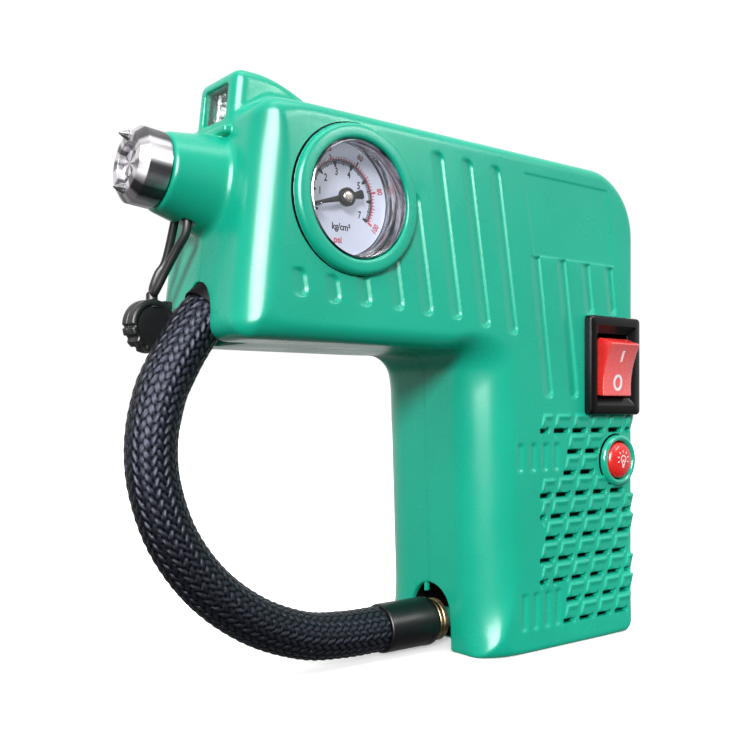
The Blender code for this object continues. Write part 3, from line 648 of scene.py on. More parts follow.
def values_of(items, name, kind, width=1):
    """One property of all of a mesh's vertices, loops or faces, as an array."""
    values = np.empty(len(items) * width, kind)
    items.foreach_get(name, values)
    return values if width == 1 else values.reshape(-1, width)


def corner_normals(mesh, normals):
    """The vertices' normals, but the face's own where a large face of a flat side ends at a crease."""
    corners = values_of(mesh.loops, "vertex_index", np.int32)
    sizes = values_of(mesh.polygons, "loop_total", np.int32)
    facing = np.repeat(values_of(mesh.polygons, "normal", np.float32, 3), sizes, axis=0)
    areas = np.repeat(values_of(mesh.polygons, "area", np.float32), sizes)
    large = (areas > LARGE_FACE * MM**2) & (np.abs(facing[:, 1]) > FLAT_SIDE)
    bent = (facing * normals[corners]).sum(axis=1) < math.cos(math.radians(CREASE))
    return np.where((large & bent)[:, None], facing, normals[corners])


def mesh_of(name, field, shading, lowest, step, most_triangles):
    """A smooth mesh of the field's surface, thinned where it is flat. Its normals come from shading,
    the field before the cut at the seam, so that the two halves meet without a line."""
    points, quads = surface_of(field)
    for _ in range(2):
        slope = gradient(field, points)
        value = sampled(field, points)
        move = slope * (value / np.maximum((slope**2).sum(axis=1), LEAST_SLOPE))[:, None]
        points = points - np.clip(move, -LONGEST_MOVE, LONGEST_MOVE)
    mesh = bpy.data.meshes.new(name)
    mesh.vertices.add(len(points))
    placed = (points * step + np.array(lowest)) * MM
    mesh.vertices.foreach_set("co", placed.astype(np.float32).ravel())
    mesh.loops.add(quads.size)
    mesh.loops.foreach_set("vertex_index", quads.astype(np.int32).ravel())
    mesh.polygons.add(len(quads))
    mesh.polygons.foreach_set("loop_start", np.arange(0, quads.size, 4, dtype=np.int32))
    mesh.update(calc_edges=True)
    obj = link(bpy.data.objects.new(name, mesh))
    ratio = most_triangles / (2 * len(quads))
    if ratio < 1:
        thin = obj.modifiers.new("thin", "DECIMATE")
        thin.ratio = ratio
        graph = bpy.context.evaluated_depsgraph_get()
        thinned = bpy.data.meshes.new_from_object(obj.evaluated_get(graph))
        obj.modifiers.clear()
        obj.data = thinned
        bpy.data.meshes.remove(mesh)
        thinned.name = name
    mesh = obj.data
    mesh.shade_smooth()
    places = values_of(mesh.vertices, "co", np.float32, 3)
    grid_places = (places / MM - np.array(lowest)) / step
    normals = gradient(shading, grid_places, 0.7)
    normals /= np.maximum(np.linalg.norm(normals, axis=1), 1e-6)[:, None]
    mesh.normals_split_custom_set(corner_normals(mesh, normals).tolist())
    return obj


# ---------------------------------------------------------------- casing


def profile_fields(x, z):
    """The casing's side outline: the field, and the radius of its edges at each place."""
    nose = (nose_x(z) - x) / math.hypot(1, NOSE_LEAN)
    front = COLUMN_FRONT - COLUMN_LEAN * z - x
    below = UNDERSIDE - z
    above = z - TOP
    behind = x - REAR
    outline = round_min(round_max(nose, below, 5), front, 6)
    outline = np.maximum(outline, round_max(nose, above, 5))
    outline = np.maximum(outline, round_max(behind, above, 20))
    outline = np.maximum(outline, round_max(behind, -z, 4))
    in_column = ease((below - front) / 30 + 0.5)
    lower_edge = 4.6 + 9.4 * in_column
    edges = (
        (nose, 9.0),
        (above, 3.2),
        (behind, 2.6),
        (np.minimum(below, front), lower_edge),
        (-z, 1.2),
    )
    total = weights = 0
    for distance, radius in edges:
        weight = np.exp(0.3 * np.minimum(distance, 3))
        total = total + weight * radius
        weights = weights + weight
    return outline, total / weights


def form_field(x, y, z):
    """The casing's outside without its openings: body, lamp hood and snout."""
    outline, radius = profile_fields(x, z)
    side = np.abs(y) - HALF_WIDTH
    body = round_max(outline, side, radius)
    from_nose = (x - nose_x(z)) / math.hypot(1, NOSE_LEAN)
    slope = (x - HOOD_REAR) * 0.718 + (z - HOOD_TOP) * 0.696
    front, back = round_max(-from_nose - 0.5, z - HOOD_TOP, 2.4), round_max(z - HOOD_TOP, slope, 10)
    hood = np.maximum(round_max(front, back, 0.5), HOOD_FOOT - z)
    hood = round_max(hood, np.abs(y) - HOOD_HALF_WIDTH, 3.2)
    body = round_min(body, hood, 0.6 + 5.4 * ease((from_nose - 1) / 9))
    along = sum((value - base) * axis for value, base, axis in zip((x, y, z), SNOUT_BASE, SNOUT_AXIS))
    across = (x - SNOUT_BASE.x) * SNOUT_UP.x + (z - SNOUT_BASE.z) * SNOUT_UP.z
    off = np.hypot(across, y)
    taper = (SNOUT_RADII[0] - SNOUT_RADII[1]) / SNOUT_LENGTH
    snout = round_max(off - (SNOUT_RADII[0] - taper * along), along - SNOUT_LENGTH, 0.5)
    snout = np.maximum(snout, -along - 8)
    return round_min(body, snout, 1.6)


def openings_field(x, y, z):
    """What is cut through both halves: lamp window, hose port, notch, base, snout bore, slots."""
    field = box_field(
        x, y, z,
        (-115, -LAMP_HALF.y - 0.2, low("lamp_lens").z - 0.2),
        (-96.5, LAMP_HALF.y + 0.2, high("lamp_lens").z + 0.2),
        1.2,
    )
    start = Vector((HOSE_ROUTE[0][0], 0, HOSE_ROUTE[0][1]))
    port = rod_field(x, y, z, start - HOSE_EXIT_AXIS * 3, start + HOSE_EXIT_AXIS * 30, 7.6)
    field = np.minimum(field, port)
    field = np.minimum(field, box_field(x, y, z, (-121, -7.4, 82), (-102, 7.4, 96.5), 0.8))
    spring = NOTCH_TOP - NOTCH_HALF_WIDTH
    arch = np.where(z > spring, np.hypot(y, z - spring), np.abs(y)) - NOTCH_HALF_WIDTH
    field = np.minimum(field, round_max(arch, x - NOTCH_REAR, 0.6))
    base = box_field(x, y, z, (-19.3, -20.3, -5), (29.8, 20.3, WALL + 0.8), 0.6)
    field = np.minimum(field, base)
    bore = rod_field(x, y, z, snout_at(5), snout_at(30), 7.6)
    field = np.minimum(field, bore)
    slot = box_field(x, y, z, (-117.7, -3.4, 112), (-114.2, 7.2, 121.5), 1.2)
    return np.minimum(field, slot)


# Each rib: X of its right edge at the foot, Z of the foot and of the top.
RIBS = [
    (-94.7, 99.6, 106.8),
    (-84.7, 98.6, 106.0),
    (-74.9, 98.5, 107.3),
    (-64.0, 98.2, 114.1),
    (-53.8, 97.4, 129.8),
    (-43.2, 96.9, 142.2),
    (-32.0, 95.3, 142.0),
    (-20.7, 93.8, 141.9),
    (-5.4, 75.4, 117.9),
    (6.2, 75.5, 118.0),
    (13.7, 101.5, 117.7),
    (24.9, 102.2, 117.6),
]
RIB_WIDTH = 5.2
RIB_WALL = 1.0
SHORT_RIB_TOP = 112  # the ribs that end below it are only on the gauge's side
LABEL_BOTTOM = 117.9
LABEL_TOP = 141.9
LABEL_FRONT = -10


def rib_depth(x, z, ribs):
    """How deep the ribs' shallow pockets are: deepest at the right edge, which is a steep wall."""
    depth = 0.0
    for foot_x, foot_z, top_z in ribs:
        under_label = top_z < LABEL_BOTTOM + 0.6 and foot_x > LABEL_FRONT
        lean = 0.145 if under_label else 0.165
        right = x - (foot_x - lean * (z - foot_z))
        left = -RIB_WIDTH - right
        inside = np.maximum(round_max(right, foot_z - z, 2.4), round_max(left, foot_z - z, 1.6))
        if under_label:
            inside = np.maximum(inside, z - top_z)
        else:
            inside = np.maximum(inside, round_max(right, z - top_z, 2.0))
            inside = np.maximum(inside, round_max(left, z - top_z, 1.6))
        floor = 0.06 + 0.84 * ease((right + RIB_WIDTH) / RIB_WIDTH)
        depth = np.maximum(depth, floor * np.clip(-inside / RIB_WALL, 0, 1))
    return depth


def label_depth(x, z):
    """The blank label's very shallow recess above the last four ribs."""
    up = z - 117.6
    left = (-14.5 - 0.185 * up) - x
    right = x - (23.3 - 0.15 * up)
    inside = np.maximum(np.maximum(left, right), np.maximum(LABEL_BOTTOM - 0.2 - z, z - LABEL_TOP))
    return 0.22 * ease(-inside / 0.5)


VENT_FRONT, VENT_REAR = -11.5, 30.9
VENT_TOP_Z, VENT_ROW, VENT_ROWS = 65.7, 6.47, 10
VENT_PITCH, VENT_SLOT, VENT_FIRST, VENT_SHIFT = 8.6, 6.0, -5.45, 2.5
VENT_SHORT_ROWS, VENT_SHORT_FRONT = (1, 2, 8, 9), -0.9
VENT_TO_BUTTON = 9.4
VENT_HALF_HEIGHT = 0.42
VENT_SHORTEST = 1.2
GROOVES = (  # X of the finger grooves, and the lowest and the highest Z
    ((-20.2, -14.6, -9.3, -4.4), 53.3, 62.5),
    ((-18.4, -13.4, -8.3, -3.7), 6.4, 18.2),
)


def vent_slots():
    """(front, rear, z) of each slot, on the same slanting lattice as the CAD's."""
    for row in range(VENT_ROWS):
        z = VENT_TOP_Z - row * VENT_ROW
        front = VENT_SHORT_FRONT if row in VENT_SHORT_ROWS else VENT_FRONT
        for column in range(-2, 8):
            start = VENT_FIRST + column * VENT_PITCH - row * VENT_SHIFT
            first, last = max(start, front), min(start + VENT_SLOT, VENT_REAR)
            near_button = math.hypot((first + last) / 2 - BUTTON.x, z - BUTTON.z) < VENT_TO_BUTTON
            if last - first > VENT_SHORTEST and not near_button:
                yield first, last, z


def vent_lift(x, z):
    """Each vent's cell is a slanting pad that stands proud at its top and left, like a shingle."""
    lift = np.zeros(np.broadcast(x, z).shape, np.float32)
    for first, last, slot_z in vent_slots():
        up = z - slot_z
        slant = 0.3 * up
        left = x - (first - 0.5 + slant)
        right = (last + 1.0 + slant) - x
        over = 5.1 - up
        edge = np.minimum(left, over)
        pad = 0.55 * np.clip(edge / 0.6, 0, 1) * ease((right + 0.1) / 1.8) * ease((up - 0.1) / 2.2)
        ramp = 1 - 0.8 * ease((edge - 0.6) / 1.7)
        lift = np.maximum(lift, pad * ramp)
    return lift


def in_vent_slot(x, z):
    inside = np.zeros(np.broadcast(x, z).shape, bool)
    for first, last, slot_z in vent_slots():
        inside |= (x > first) & (x < last) & (np.abs(z - slot_z) < VENT_HALF_HEIGHT)
    return inside


def groove_depth(x, z):
    """Two groups of four soft upright finger grooves in front of the vents."""
    depth = 0.0
    for places, low_z, high_z in GROOVES:
        length = ease((z - low_z) / 1.5) * ease((high_z - z) / 1.5)
        for place in places:
            across = (x - place) / 1.1
            depth = np.maximum(depth, 0.55 * np.exp(-(across**2)) * length)
    return depth


def grid_of(lows, highs, step):
    """Broadcast coordinates of a grid, as (x, 1, 1), (1, y, 1) and (1, 1, z)."""
    axes = [np.arange(start, end + step, step, dtype=np.float32) for start, end in zip(lows, highs)]
    return np.ix_(*axes)


SEAM_GAP = 0.02
GRID_FRONT, GRID_BOTTOM, GRID_MARGIN = -127.0, -1.0, 0.8  # the box that is sampled round the casing
NO_RELIEF = 0.001  # relief less deep than this is left out
OUTSIDE = 50  # a field's value where nothing is near
SCREW_POST, SCREW_PILOT, SCREW_SHANK, SCREW_HEAD = 3.2, 1.4, 1.5, 2.9  # radii
BUTTON_HOLE, JACK_HOLE = 7.3, 4.4  # radii
LAMP_LIP = ((-110.0, -9.8, 140.7), (-104, 9.8, 143.0))
HOLES_END = 20  # how far from the middle plane the gauge's, switch's and button's holes end


def casing_half(name, side, step, most_triangles):
    """One half of the casing: side is -1 for the gauge's half and +1 for the other."""
    sides = (-HALF_WIDTH - RING_PROUD, 0) if side < 0 else (0, HALF_WIDTH)
    lows = [GRID_FRONT, sides[0] - GRID_MARGIN, GRID_BOTTOM]
    highs = [edge + GRID_MARGIN for edge in (REAR, sides[1], HOOD_TOP)]
    x, y, z = grid_of(lows, highs, step)
    form = blurred(form_field(x, y, z).astype(np.float32), 4)
    lip = box_field(x, y, z, *LAMP_LIP, 0.8)
    form = round_min(form, lip, 0.3)
    field = form
    if side < 0:
        off = np.hypot(x - GAUGE.x, z - GAUGE.z)
        dome = 0.35 * ((off - 16.5) / 3) ** 2
        ring = round_max(off - RING_RADIUS, -HALF_WIDTH - RING_PROUD + dome - y, 1.3)
        ring = np.maximum(ring, y + HALF_WIDTH - 1.5)
        field = np.minimum(field, ring)
        lift = vent_lift(x, z)
        pads = np.maximum(-HALF_WIDTH - lift - y, y + HALF_WIDTH - 1)
        field = np.minimum(field, np.where(lift > NO_RELIEF, pads, OUTSIDE))
        depth = np.maximum(rib_depth(x, z, RIBS), label_depth(x, z))
        depth = np.maximum(depth, groove_depth(x, z))
        depth = np.where(off < RING_RADIUS + 0.3, 0, depth)
        whole_here = (off < RING_RADIUS - 0.4) | (depth < NO_RELIEF)
        carved = np.where(whole_here, -OUTSIDE, (-HALF_WIDTH + depth) - y)
        carved = np.where(in_vent_slot(x, z), (-HALF_WIDTH + WALL + 2) - y, carved)
        field = np.maximum(field, np.where(y > -HALF_WIDTH + 6, -OUTSIDE, carved))
    else:
        depth = rib_depth(x, z, [rib for rib in RIBS if rib[2] > SHORT_RIB_TOP])
        field = np.maximum(field, y - (HALF_WIDTH - depth))
    field = np.maximum(field, -(form + WALL))
    wall_y = side * (HALF_WIDTH - WALL / 2)
    for place in SCREWS:
        post = rod_field(x, y, z, (place.x, 0, place.z), (place.x, wall_y, place.z), SCREW_POST)
        field = np.minimum(field, post)
    pocket = box_field(
        x, y, z, (COLUMN_FRONT + 0.6, -10.3, 0.4), (NOTCH_REAR + 1.8, 10.3, NOTCH_TOP + 1.8), 0.5
    )
    field = np.minimum(field, pocket)
    field = round_max(field, -openings_field(x, y, z), 0.35)
    def bore(place, start, end, radius):
        return rod_field(x, y, z, (place.x, start, place.z), (place.x, end, place.z), radius)

    if side < 0:
        field = round_max(field, -np.maximum(off - WINDOW_RADIUS, y + HOLES_END), 0.5)
        hole = box_field(
            x, y, z,
            (low("switch_housing").x + 1.6, -40, low("switch_housing").z + 1.6),
            (high("switch_housing").x - 1.8, -HOLES_END, high("switch_housing").z - 1.6),
        )
        field = np.maximum(field, -hole)
        off = np.hypot(x - BUTTON.x, z - BUTTON.z)
        field = np.maximum(field, -np.maximum(off - BUTTON_HOLE, y + HOLES_END))
        field = np.maximum(field, -rod_field(x, y, z, (28, JACK.y, JACK.z), (37, JACK.y, JACK.z), JACK_HOLE))
        for place in SCREWS:
            field = np.maximum(field, -bore(place, -11, 2, SCREW_PILOT))
    else:
        for place in SCREWS:
            head = bore(place, HALF_WIDTH - 6, HALF_WIDTH + 3, SCREW_HEAD)
            shank = bore(place, -3, HALF_WIDTH - 3, SCREW_SHANK)
            field = round_max(field, -np.minimum(head, shank), 0.3)
    whole = np.broadcast_to(field, (x.size, y.size, z.size)).astype(np.float32)
    field = np.maximum(whole, SEAM_GAP - side * y).astype(np.float32)
    half = mesh_of(name, field, whole, lows, step, most_triangles)
    half.data.materials.append(casing_plastic())
    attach(half, "root")
    return half


def casing_plastic():
    if "casing_plastic" in bpy.data.materials:
        return bpy.data.materials["casing_plastic"]
    return moulded("casing_plastic", GREEN, 0.28, grain=0.03, scale=1400, gloss=0.35)


def casing():
    """The gauge's half is finer, because its ribs and vents are seen from near."""
    fine = 0.34
    near = casing_half("casing_left", -1, fine, 190_000)
    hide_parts("shell_left")
    far = casing_half("casing_right", 1, fine * 1.35, 90_000)
    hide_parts("shell_right")


def piece(obj, material, slot, *replaced, body="root"):
    """Gives a finished object its material and its body, and hides the CAD nodes it stands for. slot is not
    used.
    """
    obj.data.materials.append(material)
    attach(obj, body)
    if replaced:
        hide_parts(*replaced)
    return obj


def modified(obj, kind, **settings):
    """The object with one modifier applied."""
    modifier = obj.modifiers.new(kind, kind)
    for key, value in settings.items():
        setattr(modifier, key, value)
    graph = bpy.context.evaluated_depsgraph_get()
    mesh = bpy.data.meshes.new_from_object(obj.evaluated_get(graph))
    obj.modifiers.clear()
    obj.data = mesh
    return obj


def bevelled(obj, width, segments=3):
    modified(obj, "BEVEL", width=width * MM, segments=segments, limit_method="ANGLE")
    obj.data.shade_smooth()
    obj.data.set_sharp_from_angle(angle=math.radians(35))
    return obj


def cut(obj, cutter):
    modified(obj, "BOOLEAN", object=cutter, operation="DIFFERENCE")
    bpy.data.objects.remove(cutter)
    return obj


def outline_solid(name, outline, place, depth):
    """A prism: outline of 2D points, placed in 3D by place(u, v, height) for heights 0 and depth."""
    bm = bmesh.new()
    layers = [[bm.verts.new(Vector(place(u, v, height)) * MM) for u, v in outline] for height in (0, depth)]
    bm.faces.new(layers[0])
    bm.faces.new(layers[1])
    count = len(outline)
    for i in range(count):
        j = (i + 1) % count
        bm.faces.new([layers[0][i], layers[0][j], layers[1][j], layers[1][i]])
    bmesh.ops.recalc_face_normals(bm, faces=bm.faces)
    return from_bmesh(name, bm)


def loft(name, loops, smooth_below=35.0):
    """A closed solid through loops that all have the same number of points."""
    bm = bmesh.new()
    rows = [[bm.verts.new(Vector(point) * MM) for point in loop] for loop in loops]
    for upper, lower in zip(rows, rows[1:]):
        for i in range(len(upper)):
            j = (i + 1) % len(upper)
            bm.faces.new([upper[i], upper[j], lower[j], lower[i]])
    bm.faces.new(rows[0])
    bm.faces.new(rows[-1])
    bmesh.ops.recalc_face_normals(bm, faces=bm.faces)
    return from_bmesh(name, bm, smooth_below)


def rounded_rectangle(half_u, half_v, radius, per_corner=6):
    points = []
    for quarter, (su, sv) in enumerate(((1, 1), (-1, 1), (-1, -1), (1, -1))):
        for step in range(per_corner + 1):
            angle = math.pi / 2 * (quarter + step / per_corner)
            u = su * (half_u - radius) + radius * math.cos(angle)
            points.append((u, sv * (half_v - radius) + radius * math.sin(angle)))
    return points


def arc(radius, start, end, steps, centre=(0.0, 0.0)):
    """Points on an arc, with angles in degrees."""
    angles = [math.radians(start + (end - start) * step / steps) for step in range(steps + 1)]
    return [(centre[0] + radius * math.cos(a), centre[1] + radius * math.sin(a)) for a in angles]


PRINT_DEPTH = 0.05
PRINT_ROOT = -0.04  # how far the print goes into the surface


def printed(name, lines, place, texts=()):
    """Raised print: lines are (2D points, width), texts are meshes in the same 2D plane, and
    place(u, v, height) puts a point on the surface."""
    bm = bmesh.new()
    for points, width in lines:
        flat = [Vector(point) for point in points]
        sides = []
        for i, point in enumerate(flat):
            ahead = flat[min(i + 1, len(flat) - 1)] - flat[max(i - 1, 0)]
            across = Vector((-ahead.y, ahead.x)).normalized() * width / 2
            sides.append((point + across, point - across))
        rows = []
        for left, right in sides:
            corners = [
                (*left, PRINT_ROOT), (*left, PRINT_DEPTH), (*right, PRINT_DEPTH), (*right, PRINT_ROOT),
            ]
            rows.append([bm.verts.new(Vector(place(*corner)) * MM) for corner in corners])
        for first, second in zip(rows, rows[1:]):
            for i in range(4):
                j = (i + 1) % 4
                bm.faces.new([first[i], first[j], second[j], second[i]])
        bm.faces.new(rows[0])
        bm.faces.new(rows[-1])
    for text in texts:
        start = len(bm.verts)
        bm.from_mesh(text)
        bm.verts.ensure_lookup_table()
        for vert in bm.verts[start:]:
            vert.co = Vector(place(vert.co.x, vert.co.y, vert.co.z)) * MM
    bmesh.ops.recalc_face_normals(bm, faces=bm.faces)
    return from_bmesh(name, bm)


def lettering(text, size, centre, turn=0.0, squeeze=0.85):
    """A mesh of the text in millimetres, centred at a 2D point and turned by that many degrees."""
    curve = bpy.data.curves.new("lettering", "FONT")
    curve.body = text
    curve.size = size
    curve.align_x = "CENTER"
    curve.align_y = "CENTER"
    curve.extrude = PRINT_DEPTH
    curve.resolution_u = 4
    curve.offset = 0.024 * size
    obj = link(bpy.data.objects.new("lettering", curve))
    graph = bpy.context.evaluated_depsgraph_get()
    mesh = bpy.data.meshes.new_from_object(obj.evaluated_get(graph))
    bpy.data.objects.remove(obj)
    mesh.transform(
        Matrix.Translation((*centre, 0))
        @ Matrix.Rotation(math.radians(turn), 4, "Z")
        @ Matrix.Diagonal((squeeze, 1, 1, 1))
    )
    return mesh


# ---------------------------------------------------------------- hose and chuck

CARRIERS = 24  # yarns each way
BRAID_STEP = 2.6  # along the hose, from one yarn to the next
FILAMENTS = 7.0  # ridges across each yarn


def nylon_braid():
    """Flat yarns of shiny blue-black nylon, with painted shade: darker and matt in the hollows where they
    cross.
    """
    nodes = Nodes("nylon_braid")
    crest = nodes.add("ShaderNodeAttribute", attribute_name="crest").outputs["Fac"]
    strand = nodes.add("ShaderNodeAttribute", attribute_name="strand").outputs["Fac"]
    ridges = nodes.maths("SINE", nodes.maths("MULTIPLY", strand, 2 * math.pi * FILAMENTS))
    fuzz = nodes.noise(1500, 3)
    tops = nodes.mix(nodes.noise(90, 3), (0.0035, 0.004, 0.007), (0.009, 0.010, 0.018))
    # Painted shade: the colour goes to near black, and the gloss down, where the braid dips into its
    # crevices.
    colour = nodes.mix(nodes.spread(crest, 0.35, 0.95, 0, 1), (0.0006, 0.0006, 0.001), tops)
    nodes.set(base_color=colour, roughness=nodes.spread(fuzz, 0.3, 0.7, 0.27, 0.38))
    nodes.set(specular_ior_level=nodes.spread(crest, 0.3, 0.8, 0.05, 0.5))
    nodes.set(specular_tint=(0.72, 0.78, 1.0))
    nodes.set(normal=nodes.bump(nodes.maths("ADD", ridges, fuzz), 0.35, 0.00008))
    return nodes.material


def hose():
    """The braid: each yarn goes over two and under two, which makes columns of chevrons."""
    path = smooth_route([(x, 0, z) for x, z in HOSE_ROUTE], 0.3)
    along = np.concatenate([[0], np.cumsum(np.linalg.norm(np.diff(path, axis=0), axis=1))])
    around = 192
    turn = np.arange(around) / around * CARRIERS
    advance = along[:, None] / BRAID_STEP
    rising, falling = turn + advance, turn - advance
    count = (np.floor(rising) + np.floor(falling)) % 4
    over = count < 2
    across = np.where(over, rising % 1, falling % 1)
    run = np.where(over, count + falling % 1, count - 2 + rising % 1) / 2
    crest = 0.5 * (1 - (2 * across - 1) ** 2) + 0.5 * np.sin(np.pi * run)
    radius = HOSE_DIAMETER / 2 - 0.4 + 0.5 * crest
    obj = from_grid("braided_hose", tube_points(path, around, radius))
    for name, values in (("crest", crest), ("strand", across)):
        layer = obj.data.attributes.new(name, "FLOAT", "POINT")
        layer.data.foreach_set("value", values.astype(np.float32).ravel())
    piece(obj, nylon_braid(), "hose_braid", "hose")
    return obj, path, float(along[-1])


def hose_ends():
    """The crimp at the port, a black ring of painted shade in the port, the moulded sleeve and the chuck's
    turned collar.
    """
    start = (HOSE_ROUTE[0][0], 0, HOSE_ROUTE[0][1])
    crimp_profile = [
        (0, -8), (6.7, -8), (6.9, -7.6), (6.9, 1.6), (6.8, 1.8), (6.8, 2.2), (6.95, 2.4), (6.95, 2.9),
        (6.8, 3.1), (6.68, 2.9), (6.68, -0.1), (0, -0.1),
    ]
    crimp = turned("hose_crimp", rounded_profile(crimp_profile, 0.12), start, HOSE_EXIT_AXIS)
    # The crimp's steel is near black: painted shade inside the port.
    steel = turned_metal("crimp_steel_in_painted_shade", (0.035, 0.034, 0.033), 0.3, start, HOSE_EXIT_AXIS)
    piece(crimp, steel, "steel", "hose_ferrule")
    # A black ring inside the port: painted shade, so that the port's mouth looks dark round the hose.
    profile = [(7.0, -2), (7.5, -2), (7.5, 5.4), (7.3, 5.7), (7.05, 5.4)]
    port_shade = turned("port_shade_ring", profile, start, HOSE_EXIT_AXIS)
    rubber = moulded("port_painted_shade_black", (0.002, 0.002, 0.0025), 0.6, grain=0.1, gloss=0.1)
    piece(port_shade, rubber, "rubber")
    place = (low("chuck_sleeve").x, 0, CHUCK.z)
    length = high("chuck_sleeve").x - place[0]
    profile = [
        (3.6, 0), (6.75, 0), (7.1, 0.35), (7.15, 1.2), (7.2, length - 3.2), (7.3, length - 2.6),
        (7.3, length - 0.8), (6.9, length - 0.05), (6.2, length), (3.6, length),
    ]
    sleeve = turned("hose_sleeve", rounded_profile(profile, 0.5, 4), place, (1, 0, 0))
    satin = moulded("sleeve_satin", (0.004, 0.004, 0.005), 0.34, grain=0.05, scale=1200, gloss=0.4)
    piece(sleeve, satin, "black_plastic", "chuck_sleeve")
    place = (low("chuck_collar").x, 0, CHUCK.z)
    length = high("chuck_collar").x - place[0]
    profile = [
        (3.6, 0), (6.1, 0), (6.4, 0.3), (6.4, 1.3), (6.22, 1.45), (6.22, 1.65), (6.4, 1.8),
        (6.4, length - 0.5), (5.9, length), (3.6, length),
    ]
    collar = turned("chuck_ring", rounded_profile(profile, 0.12), place, (1, 0, 0))
    brass = turned_metal("collar_brass", (0.42, 0.31, 0.18), 0.36, place, (1, 0, 0))
    piece(collar, brass, "collar_brass", "chuck_collar", body="chuck_collar")
    return [crimp, sleeve, collar]


def declare_hose():
    obj, path, length = hose()
    hose_ends()


# ---------------------------------------------------------------- gauge

DIAL_FRONT = low("gauge_dial").y
NEEDLE_REST = 195.5  # degrees, anticlockwise from +X as the dial is read
BAR_ZERO, BAR_STEP = 204.3, -33.7
PSI_ZERO, PSI_STEP = 201.8, -2.33
BAR_RING, PSI_RING = 9.75, 10.1
# The far end's radius and the width of a tick: of each tenth, of each fifth and of the others.
BAR_TICKS = ((8.2, 0.66), (8.7, 0.42), (8.9, 0.34))
PSI_TICKS = ((11.6, 0.55), (11.1, 0.3), (10.9, 0.25))


def on_dial(u, v, height=0.0):
    return MOVEMENT.x + u, DIAL_FRONT - height, MOVEMENT.z + v


def polar(radius, degrees):
    return radius * math.cos(math.radians(degrees)), radius * math.sin(math.radians(degrees))


def tick_rank(tick):
    return 0 if tick % 10 == 0 else 1 if tick % 5 == 0 else 2


def dial_print():
    black, red, black_text, red_text = [], [], [], []
    for tick in range(71):
        angle = BAR_ZERO + BAR_STEP * tick / 10
        reach, width = BAR_TICKS[tick_rank(tick)]
        black.append(([polar(reach, angle), polar(BAR_RING, angle)], width))
    black.append((arc(BAR_RING, BAR_ZERO, BAR_ZERO + 7 * BAR_STEP, 90), 0.26))
    for number in range(1, 8):
        if number != 6:
            spot = polar(6.9, BAR_ZERO + BAR_STEP * number)
            black_text.append(lettering(str(number), 2.7, spot, 0, 0.72))
    for tick in range(51):
        angle = PSI_ZERO + PSI_STEP * 2 * tick
        reach, width = PSI_TICKS[tick_rank(tick)]
        red.append(([polar(PSI_RING, angle), polar(reach, angle)], width))
    red.append((arc(PSI_RING, PSI_ZERO, PSI_ZERO + 100 * PSI_STEP, 90), 0.3))
    for number in (40, 60, 80, 100):
        angle = PSI_ZERO + PSI_STEP * number
        turn = angle - 90 if angle > 0 else angle + 90
        red_text.append(lettering(str(number), 2.3, polar(13.0, angle), turn, 0.78))
    black_text.append(lettering("kg/cm²", 2.5, (-0.1, -7.4), 0, 0.88))
    red_text.append(lettering("psi", 2.5, (-1.2, -10.8), 0, 0.95))
    ink = moulded("dial_ink_black", (0.004, 0.004, 0.008), 0.6, scale=2500, gloss=0.2)
    piece(printed("dial_scale_black", black, on_dial, black_text), ink, "dial_face")
    ink = moulded("dial_ink_red", (0.5, 0.022, 0.05), 0.5, scale=2500)
    piece(printed("dial_scale_red", red, on_dial, red_text), ink, "dial_face")


